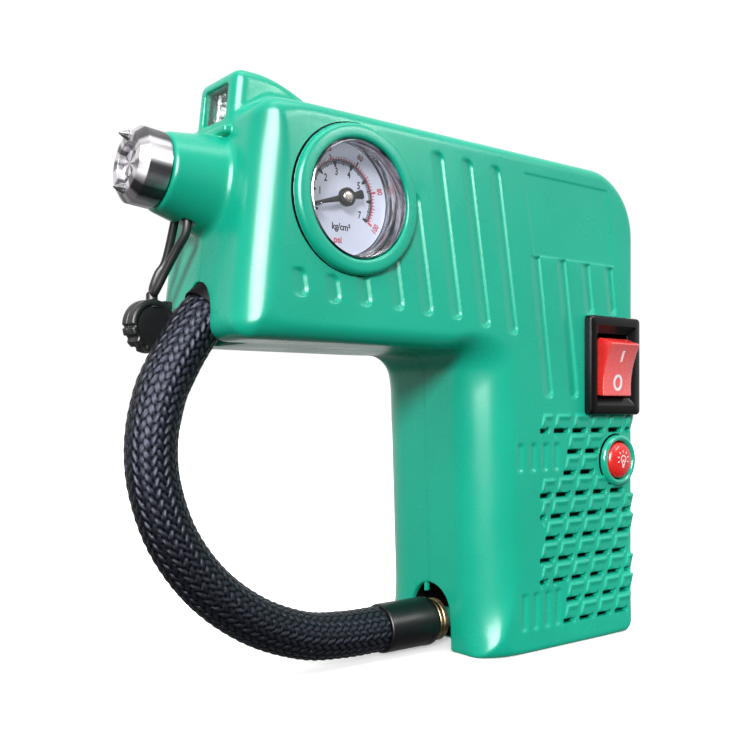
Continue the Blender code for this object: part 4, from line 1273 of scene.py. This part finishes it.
def gauge():
    """The gauge, seen through the window: dial and needle stand a little above the window's middle."""
    toward = (0, -1, 0)
    window = (GAUGE.x, 0, GAUGE.z)
    centre = (MOVEMENT.x, 0, MOVEMENT.z)
    face = -DIAL_FRONT
    # The dial glows a little: painted light that fills the shade cast in the window's recess.
    paint = moulded("dial_paint_with_painted_glow", (0.42, 0.45, 0.55), 0.42, grain=0.12, scale=1100, painted_glow=0.45)
    profile = [(0, face), (14.5, face), (14.8, face - 0.1), (14.8, face - 0.5), (0, face - 0.5)]
    piece(turned("dial_plate", profile, centre, toward), paint, "dial_face", "gauge_dial")
    dial_print()
    profile = [
        (14.65, 26.6), (15.0, 26.4), (15.0, 22.8), (14.8, 22.8), (14.7, 23.6), (14.78, 24.6), (14.6, 25.6),
    ]
    rim = turned("gauge_rim", profile, window, toward, 128)
    # The rim's dark and bright streaks are painted reflections.
    metal = streaked_metal("rim_metal", (0.5, 0.5, 0.52), (0.03, 0.03, 0.036), centre)
    piece(rim, metal, "bezel_steel", "gauge_bezel")
    profile = [
        (0, 12.5), (15.1, 12.5), (15.1, face - 0.6), (14.85, face - 0.3), (15.0, face + 0.6), (14.85, 19.6),
        (15.05, 20.3), (14.95, 21.3), (15.1, 22.2), (16, 22.2), (16, 11), (0, 11),
    ]
    wall = turned("gauge_wall", profile, centre, toward, 128, 60)
    piece(wall, metal, "steel", "gauge_case")
    profile = [(0, 26.3), (8, 26.27), (12.6, 26.15), (14.3, 25.95), (14.3, 25.6), (0, 25.6)]
    cover = turned("gauge_window", profile, window, toward, 128)
    piece(cover, clear_plastic("gauge_clear"), "clear_cover", "gauge_lens")
    # A thin black crescent, set off-centre at the ring's left edge: a painted shadow where the ring meets
    # the casing.
    profile = [(18.3, 24.9), (19.5, 24.9), (19.5, 25.04), (18.3, 25.04)]
    shadow_crescent = turned("gauge_shadow_crescent", profile, (GAUGE.x - 0.55, 0, GAUGE.z), toward, 128)
    shadow_black = moulded("painted_shadow_black", (0.001, 0.001, 0.0015), 0.7, gloss=0.05)
    piece(shadow_crescent, shadow_black, "rubber")
    turn = Matrix.Rotation(math.radians(NEEDLE_REST), 2)
    hub_top = -low("gauge_needle").y

    def on_needle(u, v, height):
        flat = turn @ Vector((u, v))
        return MOVEMENT.x + flat.x, 1.1 - hub_top - height, MOVEMENT.z + flat.y

    outline = [
        (-5.6, 0.7), (-5.3, 1.1), (-4.9, 1.2), (-2.6, 0.85), (-1.6, 0.85), (1.6, 0.85),
        (2.6, 0.8), (6.5, 0.56), (10.6, 0.32), (11.6, 0.12),
    ]
    outline += [(u, -v) for u, v in reversed(outline)]
    ink = moulded("needle_paint", (0.002, 0.002, 0.003), 0.45, grain=0.08, scale=2000, gloss=0.2)
    needle = bevelled(outline_solid("gauge_pointer", outline, on_needle, 0.35), 0.06, 2)
    piece(needle, ink, "needle_black", "gauge_needle", body="gauge_needle")
    profile = [(0, -0.15), (2.3, -0.15), (2.4, -0.3), (2.4, -1.5), (1.3, -1.8), (0, -1.8)]
    profile = [(radius, hub_top + height) for radius, height in profile]
    hub = turned("pointer_hub", rounded_profile(profile, 0.15), centre, toward, 64)
    piece(hub, ink, "needle_black", body="gauge_needle")
    profile = [
        (0, 0), (0.3, 0), (0.35, 0.1), (0.9, 0.1), (1.35, 0.02), (1.5, -0.1), (1.5, -0.4), (0, -0.4),
    ]
    profile = [(radius, hub_top + height) for radius, height in profile]
    cap = turned("pointer_cap", profile, centre, toward, 64)
    steel = turned_metal("pin_steel", (0.5, 0.46, 0.42), 0.25, centre, toward)
    piece(cap, steel, "steel", body="gauge_needle")
    spot = polar(10.2, NEEDLE_REST + 3.4)
    place = (MOVEMENT.x + spot[0], 0, MOVEMENT.z + spot[1])
    profile = [(0, 23.0), (0.22, 22.95), (0.3, 22.8), (0.3, face + 0.05), (0, face + 0.05)]
    pin = turned("stop_pin", profile, place, toward, 24)
    piece(pin, turned_metal("stop_steel", (0.4, 0.39, 0.37), 0.2, place, toward), "steel")


# ---------------------------------------------------------------- lamp and hammer tip


DISH_RADIUS = 4.15


def lamp():
    """The faceted mirror with pleats round its dish, its chrome streaked with painted reflections, the
    square chip in it and the clear window.
    """
    depth_of_mirror = high("lamp_reflector").x - low("lamp_reflector").x
    face = low("lamp_reflector").x
    half = (high("lamp_reflector") - low("lamp_reflector")) / 2
    columns, rows = 45, 35
    bm = bmesh.new()
    grid = []
    for row in range(rows + 1):
        line = []
        for column in range(columns + 1):
            y = half.y * (2 * column / columns - 1)
            z = half.z * (2 * row / rows - 1)
            off = math.hypot(y, z)
            angle = math.atan2(z, y)
            dish = 3.3 * max(0.0, 1 - (off / DISH_RADIUS) ** 2)
            facets = 0.16 * math.cos(12 * angle) * math.cos(2.4 * off) * (off < DISH_RADIUS)
            pleats = 0.3 * math.cos(2.9 * y + 0.8 * z) * (off >= DISH_RADIUS)
            line.append(bm.verts.new(Vector((face + 0.35 + dish + facets + pleats, y, LAMP.z + z)) * MM))
        grid.append(line)
    for lower, upper in zip(grid, grid[1:]):
        for i in range(columns):
            bm.faces.new([lower[i], lower[i + 1], upper[i + 1], upper[i]])
    bmesh.ops.recalc_face_normals(bm, faces=bm.faces)
    mirror = from_bmesh("lamp_mirror", bm)
    modified(mirror, "SOLIDIFY", thickness=0.4 * MM, offset=0)
    # The mirror's bright and dark streaks are painted reflections.
    bright, dark = (0.3, 0.33, 0.33), (0.006, 0.007, 0.008)
    chrome = streaked_metal("mirror_chrome", bright, dark, (face, 0, LAMP.z), 0.2, 150)
    piece(mirror, chrome, "reflector_chrome", "lamp_reflector")
    loops = []
    for half_size, inward in ((0.9, 0.3), (0.9, 1.0), (0.75, 1.2), (0.35, 1.25)):
        outline = rounded_rectangle(half_size, half_size, half_size * 0.4, 3)
        x = face + (depth_of_mirror - inward)
        loops.append([(x, u, LAMP.z + v) for u, v in outline])
    chip = moulded("led_phosphor", (0.85, 0.75, 0.25), 0.35, scale=2500)
    piece(loft("led_chip", loops), chip, "board")
    loops = []
    near, far = low("lamp_lens").x, high("lamp_lens").x
    stages = ((0.5, near + 0.02), (0.12, near + 0.14), (0, near + 0.45), (0, far - 0.2), (0.2, far))
    for inset, x in stages:
        outline = rounded_rectangle(LAMP_HALF.y - inset, LAMP_HALF.z - inset, 1.0 - inset * 0.5)
        loops.append([(x, u, LAMP.z + v) for u, v in outline])
    piece(loft("lamp_window", loops), clear_plastic("lamp_clear", 0.06), "clear_cover", "lamp_lens")


def hammer_tip():
    """The turned tip with two small holes in its face, and the two spikes that break glass."""
    profile = [
        (0, 21.5), (2.4, 21.5), (3.2, 21.45), (3.4, 20.6), (5.0, 20.6), (5.2, 22.4), (7.6, 22.4),
        (9.5, 20.5), (9.55, 20.3), (9.55, 15.1), (9.4, 14.95), (9.4, 14.65), (7.2, 14.6), (7.2, 8), (0, 8),
    ]
    tip = turned("hammer_head", rounded_profile(profile, 0.14), SNOUT_BASE, SNOUT_AXIS, 128)
    side = Vector((0, 1, 0))
    for angle in (50, -50):
        out = SNOUT_UP * math.sin(math.radians(angle)) - side * math.cos(math.radians(angle))
        place = SNOUT_BASE + out * 4.2
        cut(tip, turned("hole", [(0, 24), (0.85, 24), (0.85, 18.6), (0, 18.6)], place, SNOUT_AXIS, 20))
    tip.data.shade_smooth()
    tip.data.set_sharp_from_angle(angle=math.radians(32))
    # Strong light and dark wedges in the tip's colour: painted reflections.
    metal = turned_metal("tip_metal", (0.5, 0.48, 0.51), 0.36, SNOUT_BASE, SNOUT_AXIS, wedges=0.8)
    piece(tip, metal, "tip_aluminium", "hammer_tip")
    for name, radius in (("upper", 6.6), ("lower", -6.6)):
        place = snout_at(TIP_FRONT, radius)
        profile = [(0, 0), (1.4, 0), (1.4, 0.3), (1.2, 0.5), (0.8, 1.5), (0.2, 2.6), (0, 2.65)]
        spike = turned(f"glass_spike_{name}", profile, place, SNOUT_AXIS, 8, 5)
        steel = turned_metal(f"spike_metal_{name}", (0.5, 0.49, 0.5), 0.2, place, SNOUT_AXIS)
        piece(spike, steel, "spike_steel", f"hammer_spike_{name}")


# ---------------------------------------------------------------- switch, button and icons

ROCKER_PIVOT = Vector((SWITCH.x, -23.5, SWITCH.z))
ROCKER_TILT = math.radians(12)
ROCKER_WIDTH = high("rocker").x - low("rocker").x


def switch():
    """The rocker switch: its frame, and the rocker tipped back with its on and off marks."""
    plate_x = (high("switch_housing").x - low("switch_housing").x) / 2
    plate_z = (high("switch_housing").z - low("switch_housing").z) / 2
    front = low("switch_housing").y
    stages = [
        (10.2, 13.5, 0.6, -6.0), (10.2, 13.5, 0.6, front + 2.7), (plate_x, plate_z, 1.4, front + 2.7),
        (plate_x, plate_z, 1.4, front + 0.75), (plate_x - 0.25, plate_z - 0.25, 1.3, front + 0.25),
        (plate_x - 0.9, plate_z - 0.9, 1.2, front), (plate_x - 2.5, plate_z - 2.9, 0.7, front),
        (plate_x - 2.75, plate_z - 3.15, 0.6, front + 0.22),
        (plate_x - 4.3, plate_z - 5.0, 0.5, front + 1.35),
        (plate_x - 4.75, plate_z - 5.4, 0.4, front + 1.5),
        (7.4, 10.0, 0.3, front + 1.8), (7.4, 10.0, 0.3, -12.2),
    ]
    loops = [
        [(SWITCH.x + u, y, SWITCH.z + v) for u, v in rounded_rectangle(half_x, half_z, radius)]
        for half_x, half_z, radius, y in stages
    ]
    gloss = moulded("switch_gloss", (0.0015, 0.0015, 0.002), 0.22, grain=0.02, scale=800, gloss=0.25)
    piece(loft("switch_frame", loops, 25), gloss, "black_plastic", "switch_housing")

    tilt = Matrix.Rotation(ROCKER_TILT, 3, "X")

    def in_rocker(x, y, z):
        return ROCKER_PIVOT + tilt @ Vector((x, y, z))

    def face_y(z):
        return -5.6 - 1.2 * (z / 8.4) ** 2

    outline = [(face_y(z), z) for z in np.linspace(-8.4, 8.4, 25)]
    outline += [(-1.2, 9.2), (2.6, 3.5), (2.6, -3.5), (-1.2, -9.2)]
    half = ROCKER_WIDTH / 2
    body = outline_solid("rocker_cap", outline, lambda y, z, h: in_rocker(h - half, y, z), 2 * half)
    bevelled(body, 0.4)
    piece(body, glossy_red("rocker_red", (0.88, 0.035, 0.03)), "red_plastic", "rocker", body="rocker")
    # The face that looks out gets a lighter, pinker copy of the red: painted light on the lit face.
    body.data.materials.append(glossy_red("rocker_red_painted_lit_face", (0.93, 0.15, 0.15)))
    outward = tilt @ Vector((0, -1, 0))
    for face in body.data.polygons:
        if face.normal.dot(outward) > 0.8:
            face.material_index = 1

    def on_face(u, v, height):
        return in_rocker(u, face_y(v) - height, v)

    marks = [([(0.15, 2.4 + 0.4 * step) for step in range(10)], 0.95)]
    turns = np.linspace(0, 2 * math.pi, 49)
    marks.append(([(1.75 * math.cos(a), -4.2 + 2.15 * math.sin(a)) for a in turns], 0.85))
    white = moulded("mark_white", (0.9, 0.9, 0.9), 0.4, scale=2000)
    piece(printed("rocker_marks", marks, on_face), white, "white_plastic", body="rocker")


def button():
    """The domed red button with its bulb sign, and the ring round it."""
    toward = (0, -1, 0)
    centre = (BUTTON.x, 0, BUTTON.z)
    profile = [
        (0, 27.9), (1.6, 27.86), (3.2, 27.7), (4.4, 27.42), (5.1, 27.05), (5.55, 26.55), (5.7, 26.0),
        (5.7, 22.1), (6.5, 22.1), (6.5, 21.1), (2, 21.1), (2, 17), (0, 17),
    ]
    dome = turned("button_cap", profile, centre, toward, 96)
    red = glossy_red("button_red", (0.8, 0.018, 0.015))
    piece(dome, red, "red_plastic", "lamp_button", body="lamp_button")

    def on_dome(u, v, height):
        radius = math.hypot(u, v)
        rise = np.interp(radius, [0, 1.6, 3.2, 4.4, 5.1], [27.9, 27.86, 27.7, 27.42, 27.05])
        return BUTTON.x + u, -float(rise) - height, BUTTON.z + v

    bulb = (0.1, 0.35)
    lines = [(arc(1.15, -55, 235, 24, bulb), 0.34)]
    lines += [([(-0.45, -0.55), (-0.4, -1.2)], 0.34), ([(0.62, -0.55), (0.55, -1.2)], 0.34)]
    lines += [([(-0.5, -1.5), (0.68, -1.5)], 0.5), ([(-0.32, -2.1), (0.5, -2.1)], 0.5)]
    lines.append(([(-0.1, -0.6), (-0.2, 0.2), (0.1, -0.1), (0.4, 0.2), (0.3, -0.6)], 0.16))
    for angle in (-20, 15, 52, 90, 128, 165, 200):
        ray = [(bulb[0] + u, bulb[1] + v) for u, v in (polar(2.05, angle), polar(2.85, angle))]
        lines.append((ray, 0.3))
    white = moulded("icon_white", (0.9, 0.88, 0.88), 0.4, scale=2000)
    piece(printed("button_icon", lines, on_dome), white, "white_plastic", body="lamp_button")
    profile = [
        (6.1, 25.9), (6.25, 26.45), (6.6, 26.85), (7.0, 26.95), (7.4, 26.9), (7.85, 26.6), (8.1, 26.1),
        (8.1, 25.3), (7.0, 25.3), (7.0, 22.5), (6.1, 22.5),
    ]
    ring = turned("button_ring", profile, centre, toward, 96)
    # A thin black crescent peeking out at the ring's left edge: a painted shadow where the ring meets the
    # casing.
    profile = [(7.5, 24.9), (8.35, 24.9), (8.35, 25.04), (7.5, 25.04)]
    shadow_crescent = turned("button_shadow_crescent", profile, (BUTTON.x - 0.3, 0, BUTTON.z + 0.15), toward, 96)
    piece(shadow_crescent, moulded("button_painted_shadow_black", (0.001, 0.001, 0.0015), 0.7, gloss=0.05), "rubber")
    piece(ring, moulded("ring_plastic", GREEN, 0.16, grain=0.02, coat=0.5), "casing_green", "button_collar")


# ---------------------------------------------------------------- tether and cap

TETHER_ROUTE = [
    (-116.0, -1.9, 120.4),
    (-116.0, -1.8, 118.0),
    (-116.2, -1.0, 115.7),
    (-117.2, 1.6, 112.2),
    (-118.7, 4.9, 107.0),
    (-119.9, 7.2, 102.9),
    (-120.2, 8.3, 101.8),
    (-119.8, 9.6, 103.2),
    (-118.2, 10.0, 107.0),
    (-116.6, 8.9, 110.4),
    (-116.0, 5.4, 119.3),
    (-116.0, 5.0, 121.0),
]
TETHER_RADIUS = 1.1
CAP_CENTRE = Vector((-120.6, 9.8, 93.4))
CAP_AXIS = Vector((0.17, -0.985, 0)).normalized()


def tether():
    """The rubber loop, and the ribbed cap with its tab and lug, which ride the tether's body."""
    rubber = moulded("tether_rubber", (0.009, 0.009, 0.0105), 0.42, grain=0.12, scale=1500)
    path = smooth_route(TETHER_ROUTE, 0.4)
    strap = from_grid("cap_strap", tube_points(path, 24, TETHER_RADIUS, (1, 0, 0)))
    strap.data.materials.append(rubber)
    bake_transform(strap)
    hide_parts("tether_strap")
    profile = [
        (0, 2.15), (4.9, 2.15), (5.25, 2.2), (5.45, 2.55), (6.2, 2.6), (6.65, 2.35), (6.85, 1.9),
        (6.85, 0.5), (6.65, 0.3), (6.65, -0.1), (6.85, -0.3), (6.85, -2.1), (6.6, -2.4), (4.9, -2.4),
        (4.9, 0.4), (0, 0.4),
    ]
    cap = turned("valve_cap", rounded_profile(profile, 0.12), CAP_CENTRE, CAP_AXIS, 180)
    for vert in cap.data.vertices:
        rel = vert.co / MM - CAP_CENTRE
        out = rel - CAP_AXIS * rel.dot(CAP_AXIS)
        if out.length < 5.9:
            continue
        angle = math.degrees(math.atan2(out.z, out.x)) % 360
        grip = ease((angle - 178) / 6) * ease((262 - angle) / 6)
        notch = max(0.0, math.cos(math.radians(angle * 12))) ** 0.5
        vert.co -= out.normalized() * MM * (0.75 * grip * notch)
    piece(cap, rubber, "rubber", "tether_cap", body="tether")
    across = CAP_AXIS.cross(Vector((0, 0, 1))).normalized()

    def on_cap(u, v, height):
        return CAP_CENTRE + across * u + Vector((0, 0, v)) + CAP_AXIS * (height - 1.2)

    outline = [(u - 4.6, v + 5.6) for u, v in rounded_rectangle(1.5, 1.15, 0.5, 3)]
    knob = outline_solid("cap_tab", outline, on_cap, 2.6)
    piece(bevelled(knob, 0.25), rubber, "rubber", body="tether")
    profile = rounded_profile([(0, 8.8), (1.2, 8.8), (1.5, 8.2), (1.5, 6.0), (2.2, 4.8), (0, 4.8)], 0.2)
    lug = turned("cap_lug", profile, CAP_CENTRE + Vector((0.4, -0.4, 0)), (0, 0, 1), 32)
    piece(lug, rubber, "rubber", body="tether")


# ---------------------------------------------------------------- small parts


SCREW_TURN = 37.0  # degrees from one screw's cross to the next one's


def screws():
    zinc = worked_metal("screw_zinc", (0.55, 0.55, 0.56), 0.28, scale=500)
    for number, place in enumerate(SCREWS, 1):
        node = f"screw_{number}"
        head, foot = high(node).y, low(node).y
        profile = [
            (0, head), (1.2, head - 0.02), (2.1, head - 0.25), (2.45, head - 0.65), (2.5, head - 1.2),
            (2.4, head - 1.6), (1.2, head - 1.7), (1.2, foot + 1), (0.6, foot), (0, foot),
        ]
        centre = (place.x, 0, place.z)
        screw = turned(f"machine_{node}", profile, centre, (0, 1, 0), 48)
        for extra in (0, 90):
            angle = math.radians(SCREW_TURN * number + extra)
            u = Vector((math.cos(angle), math.sin(angle)))
            v = Vector((-math.sin(angle), math.cos(angle)))

            def in_head(a, b, height, u=u, v=v):
                flat = u * a + v * b
                return place.x + flat.x, head + 0.5 - height, place.z + flat.y

            slit = [(1.45, 0.27), (-1.45, 0.27), (-1.45, -0.27), (1.45, -0.27)]
            cut(screw, outline_solid("cross", slit, in_head, 1.5))
        screw.data.shade_smooth()
        screw.data.set_sharp_from_angle(angle=math.radians(35))
        piece(screw, zinc, "zinc_screw", node)


def foot():
    """The base cover, hollowed a little below, and the tab at the top of the notch."""
    lows, highs = low("base_cover"), high("base_cover")
    centre = (lows + highs) / 2
    half = (highs - lows) / 2
    loops = []
    stages = (
        (0, 2.0, highs.z), (0, 2.0, 0.5), (0.35, 1.8, 0.1), (0.9, 1.6, 0), (3.2, 1.2, 0), (3.5, 1, 0.3),
        (4, 1, 0.4),
    )
    for inset, radius, z in stages:
        outline = rounded_rectangle(half.x - inset, half.y - inset, radius)
        loops.append([(centre.x + u, centre.y + v, z) for u, v in outline])
    piece(loft("foot_cover", loops), casing_plastic(), "casing_green", "base_cover")
    outline = [(1.95, 19.9), (2.0, 16.9), (2.3, 16.6), (2.8, 16.6), (3.05, 16.9), (3.1, 19.9)]
    front = COLUMN_FRONT - COLUMN_LEAN * NOTCH_TOP
    tab = outline_solid("notch_tab", outline, lambda y, z, h: (front + 0.5 + h, y, z), 1.4)
    piece(bevelled(tab, 0.2), casing_plastic(), "casing_green")


def notch_liner():
    """Painted shade in the arched notch: a thin black arch along its wall, and a black plate at its back."""
    start = COLUMN_FRONT + 0.9
    spring = NOTCH_TOP - NOTCH_HALF_WIDTH
    black = moulded("notch_painted_shade_black", (0.0012, 0.0012, 0.0015), 0.8, gloss=0.05)
    wide, thin = NOTCH_HALF_WIDTH - 0.05, NOTCH_HALF_WIDTH - 0.3
    outer = [(wide, 0.8), *arc(wide, 0, 180, 32, (0, spring)), (-wide, 0.8)]
    inner = [(-thin, 0.8), *arc(thin, 180, 0, 32, (0, spring)), (thin, 0.8)]
    depth = NOTCH_REAR - 0.05 - start
    shade_lining = outline_solid("notch_shade_lining", outer + inner, lambda y, z, h: (start + h, y, z), depth)
    piece(shade_lining, black, "matte_black")
    back = outline_solid("notch_shade_back", inner, lambda y, z, h: (NOTCH_REAR - 0.25 + h, y, z), 0.2)
    piece(back, black, "matte_black")


def jack():
    """The pin in the charging socket."""
    place = (0, JACK.y, JACK.z)
    rear = high("dc_jack").x
    profile = [(0, 1.0), (0.45, 1.0), (0.65, 1.3), (0.65, 6.5), (0, 6.5)]
    profile = [(radius, rear - inward) for radius, inward in profile]
    pin = turned("jack_pin", profile, place, (1, 0, 0), 24)
    piece(pin, turned_metal("jack_brass", (0.7, 0.55, 0.3), 0.22, place, (1, 0, 0)), "brass")


# ---------------------------------------------------------------- the CAD nodes that stay


def inner_materials():
    """Material by slot, for the solids that show through the vents or not at all."""
    return {
        "casing_green": casing_plastic(),
        "matte_black": moulded("inner_black", (0.014, 0.014, 0.015), 0.55, grain=0.2),
        "steel": worked_metal("inner_steel", (0.5, 0.5, 0.51), 0.32, streaks=(1, 1, 12)),
        "brass": worked_metal("inner_brass", (0.66, 0.47, 0.2), 0.3, streaks=(8, 1, 1)),
        "aluminium": worked_metal("cast_aluminium", (0.62, 0.63, 0.64), 0.42, scale=500, depth=0.2),
        "seal_rubber": moulded("seal_rubber", (0.02, 0.02, 0.02), 0.6, grain=0.25),
        "white_plastic": moulded("gear_nylon", (0.78, 0.78, 0.74), 0.4, grain=0.08),
        "board": moulded("board_lacquer", (0.012, 0.11, 0.05), 0.35, grain=0.15, scale=700),
        "cell_wrap": moulded("cell_wrap", (0.03, 0.09, 0.3), 0.3, grain=0.04),
        "wire": moulded("wire_sleeve", (0.45, 0.02, 0.02), 0.4, grain=0.05),
    }


def dress_inner_nodes():
    slots = {part["node"]: part["material_slot"] for part in frame["record"]["subparts"]}
    materials = inner_materials()
    for name, node in frame["nodes"].items():
        if slots[name] in materials and not node.hide_render:
            node.data.materials.clear()
            node.data.materials.append(materials[slots[name]])


camera()
studio()
declare_hose()
casing()
gauge()
lamp()
hammer_tip()
switch()
button()
tether()
screws()
foot()
notch_liner()
jack()
dress_inner_nodes()
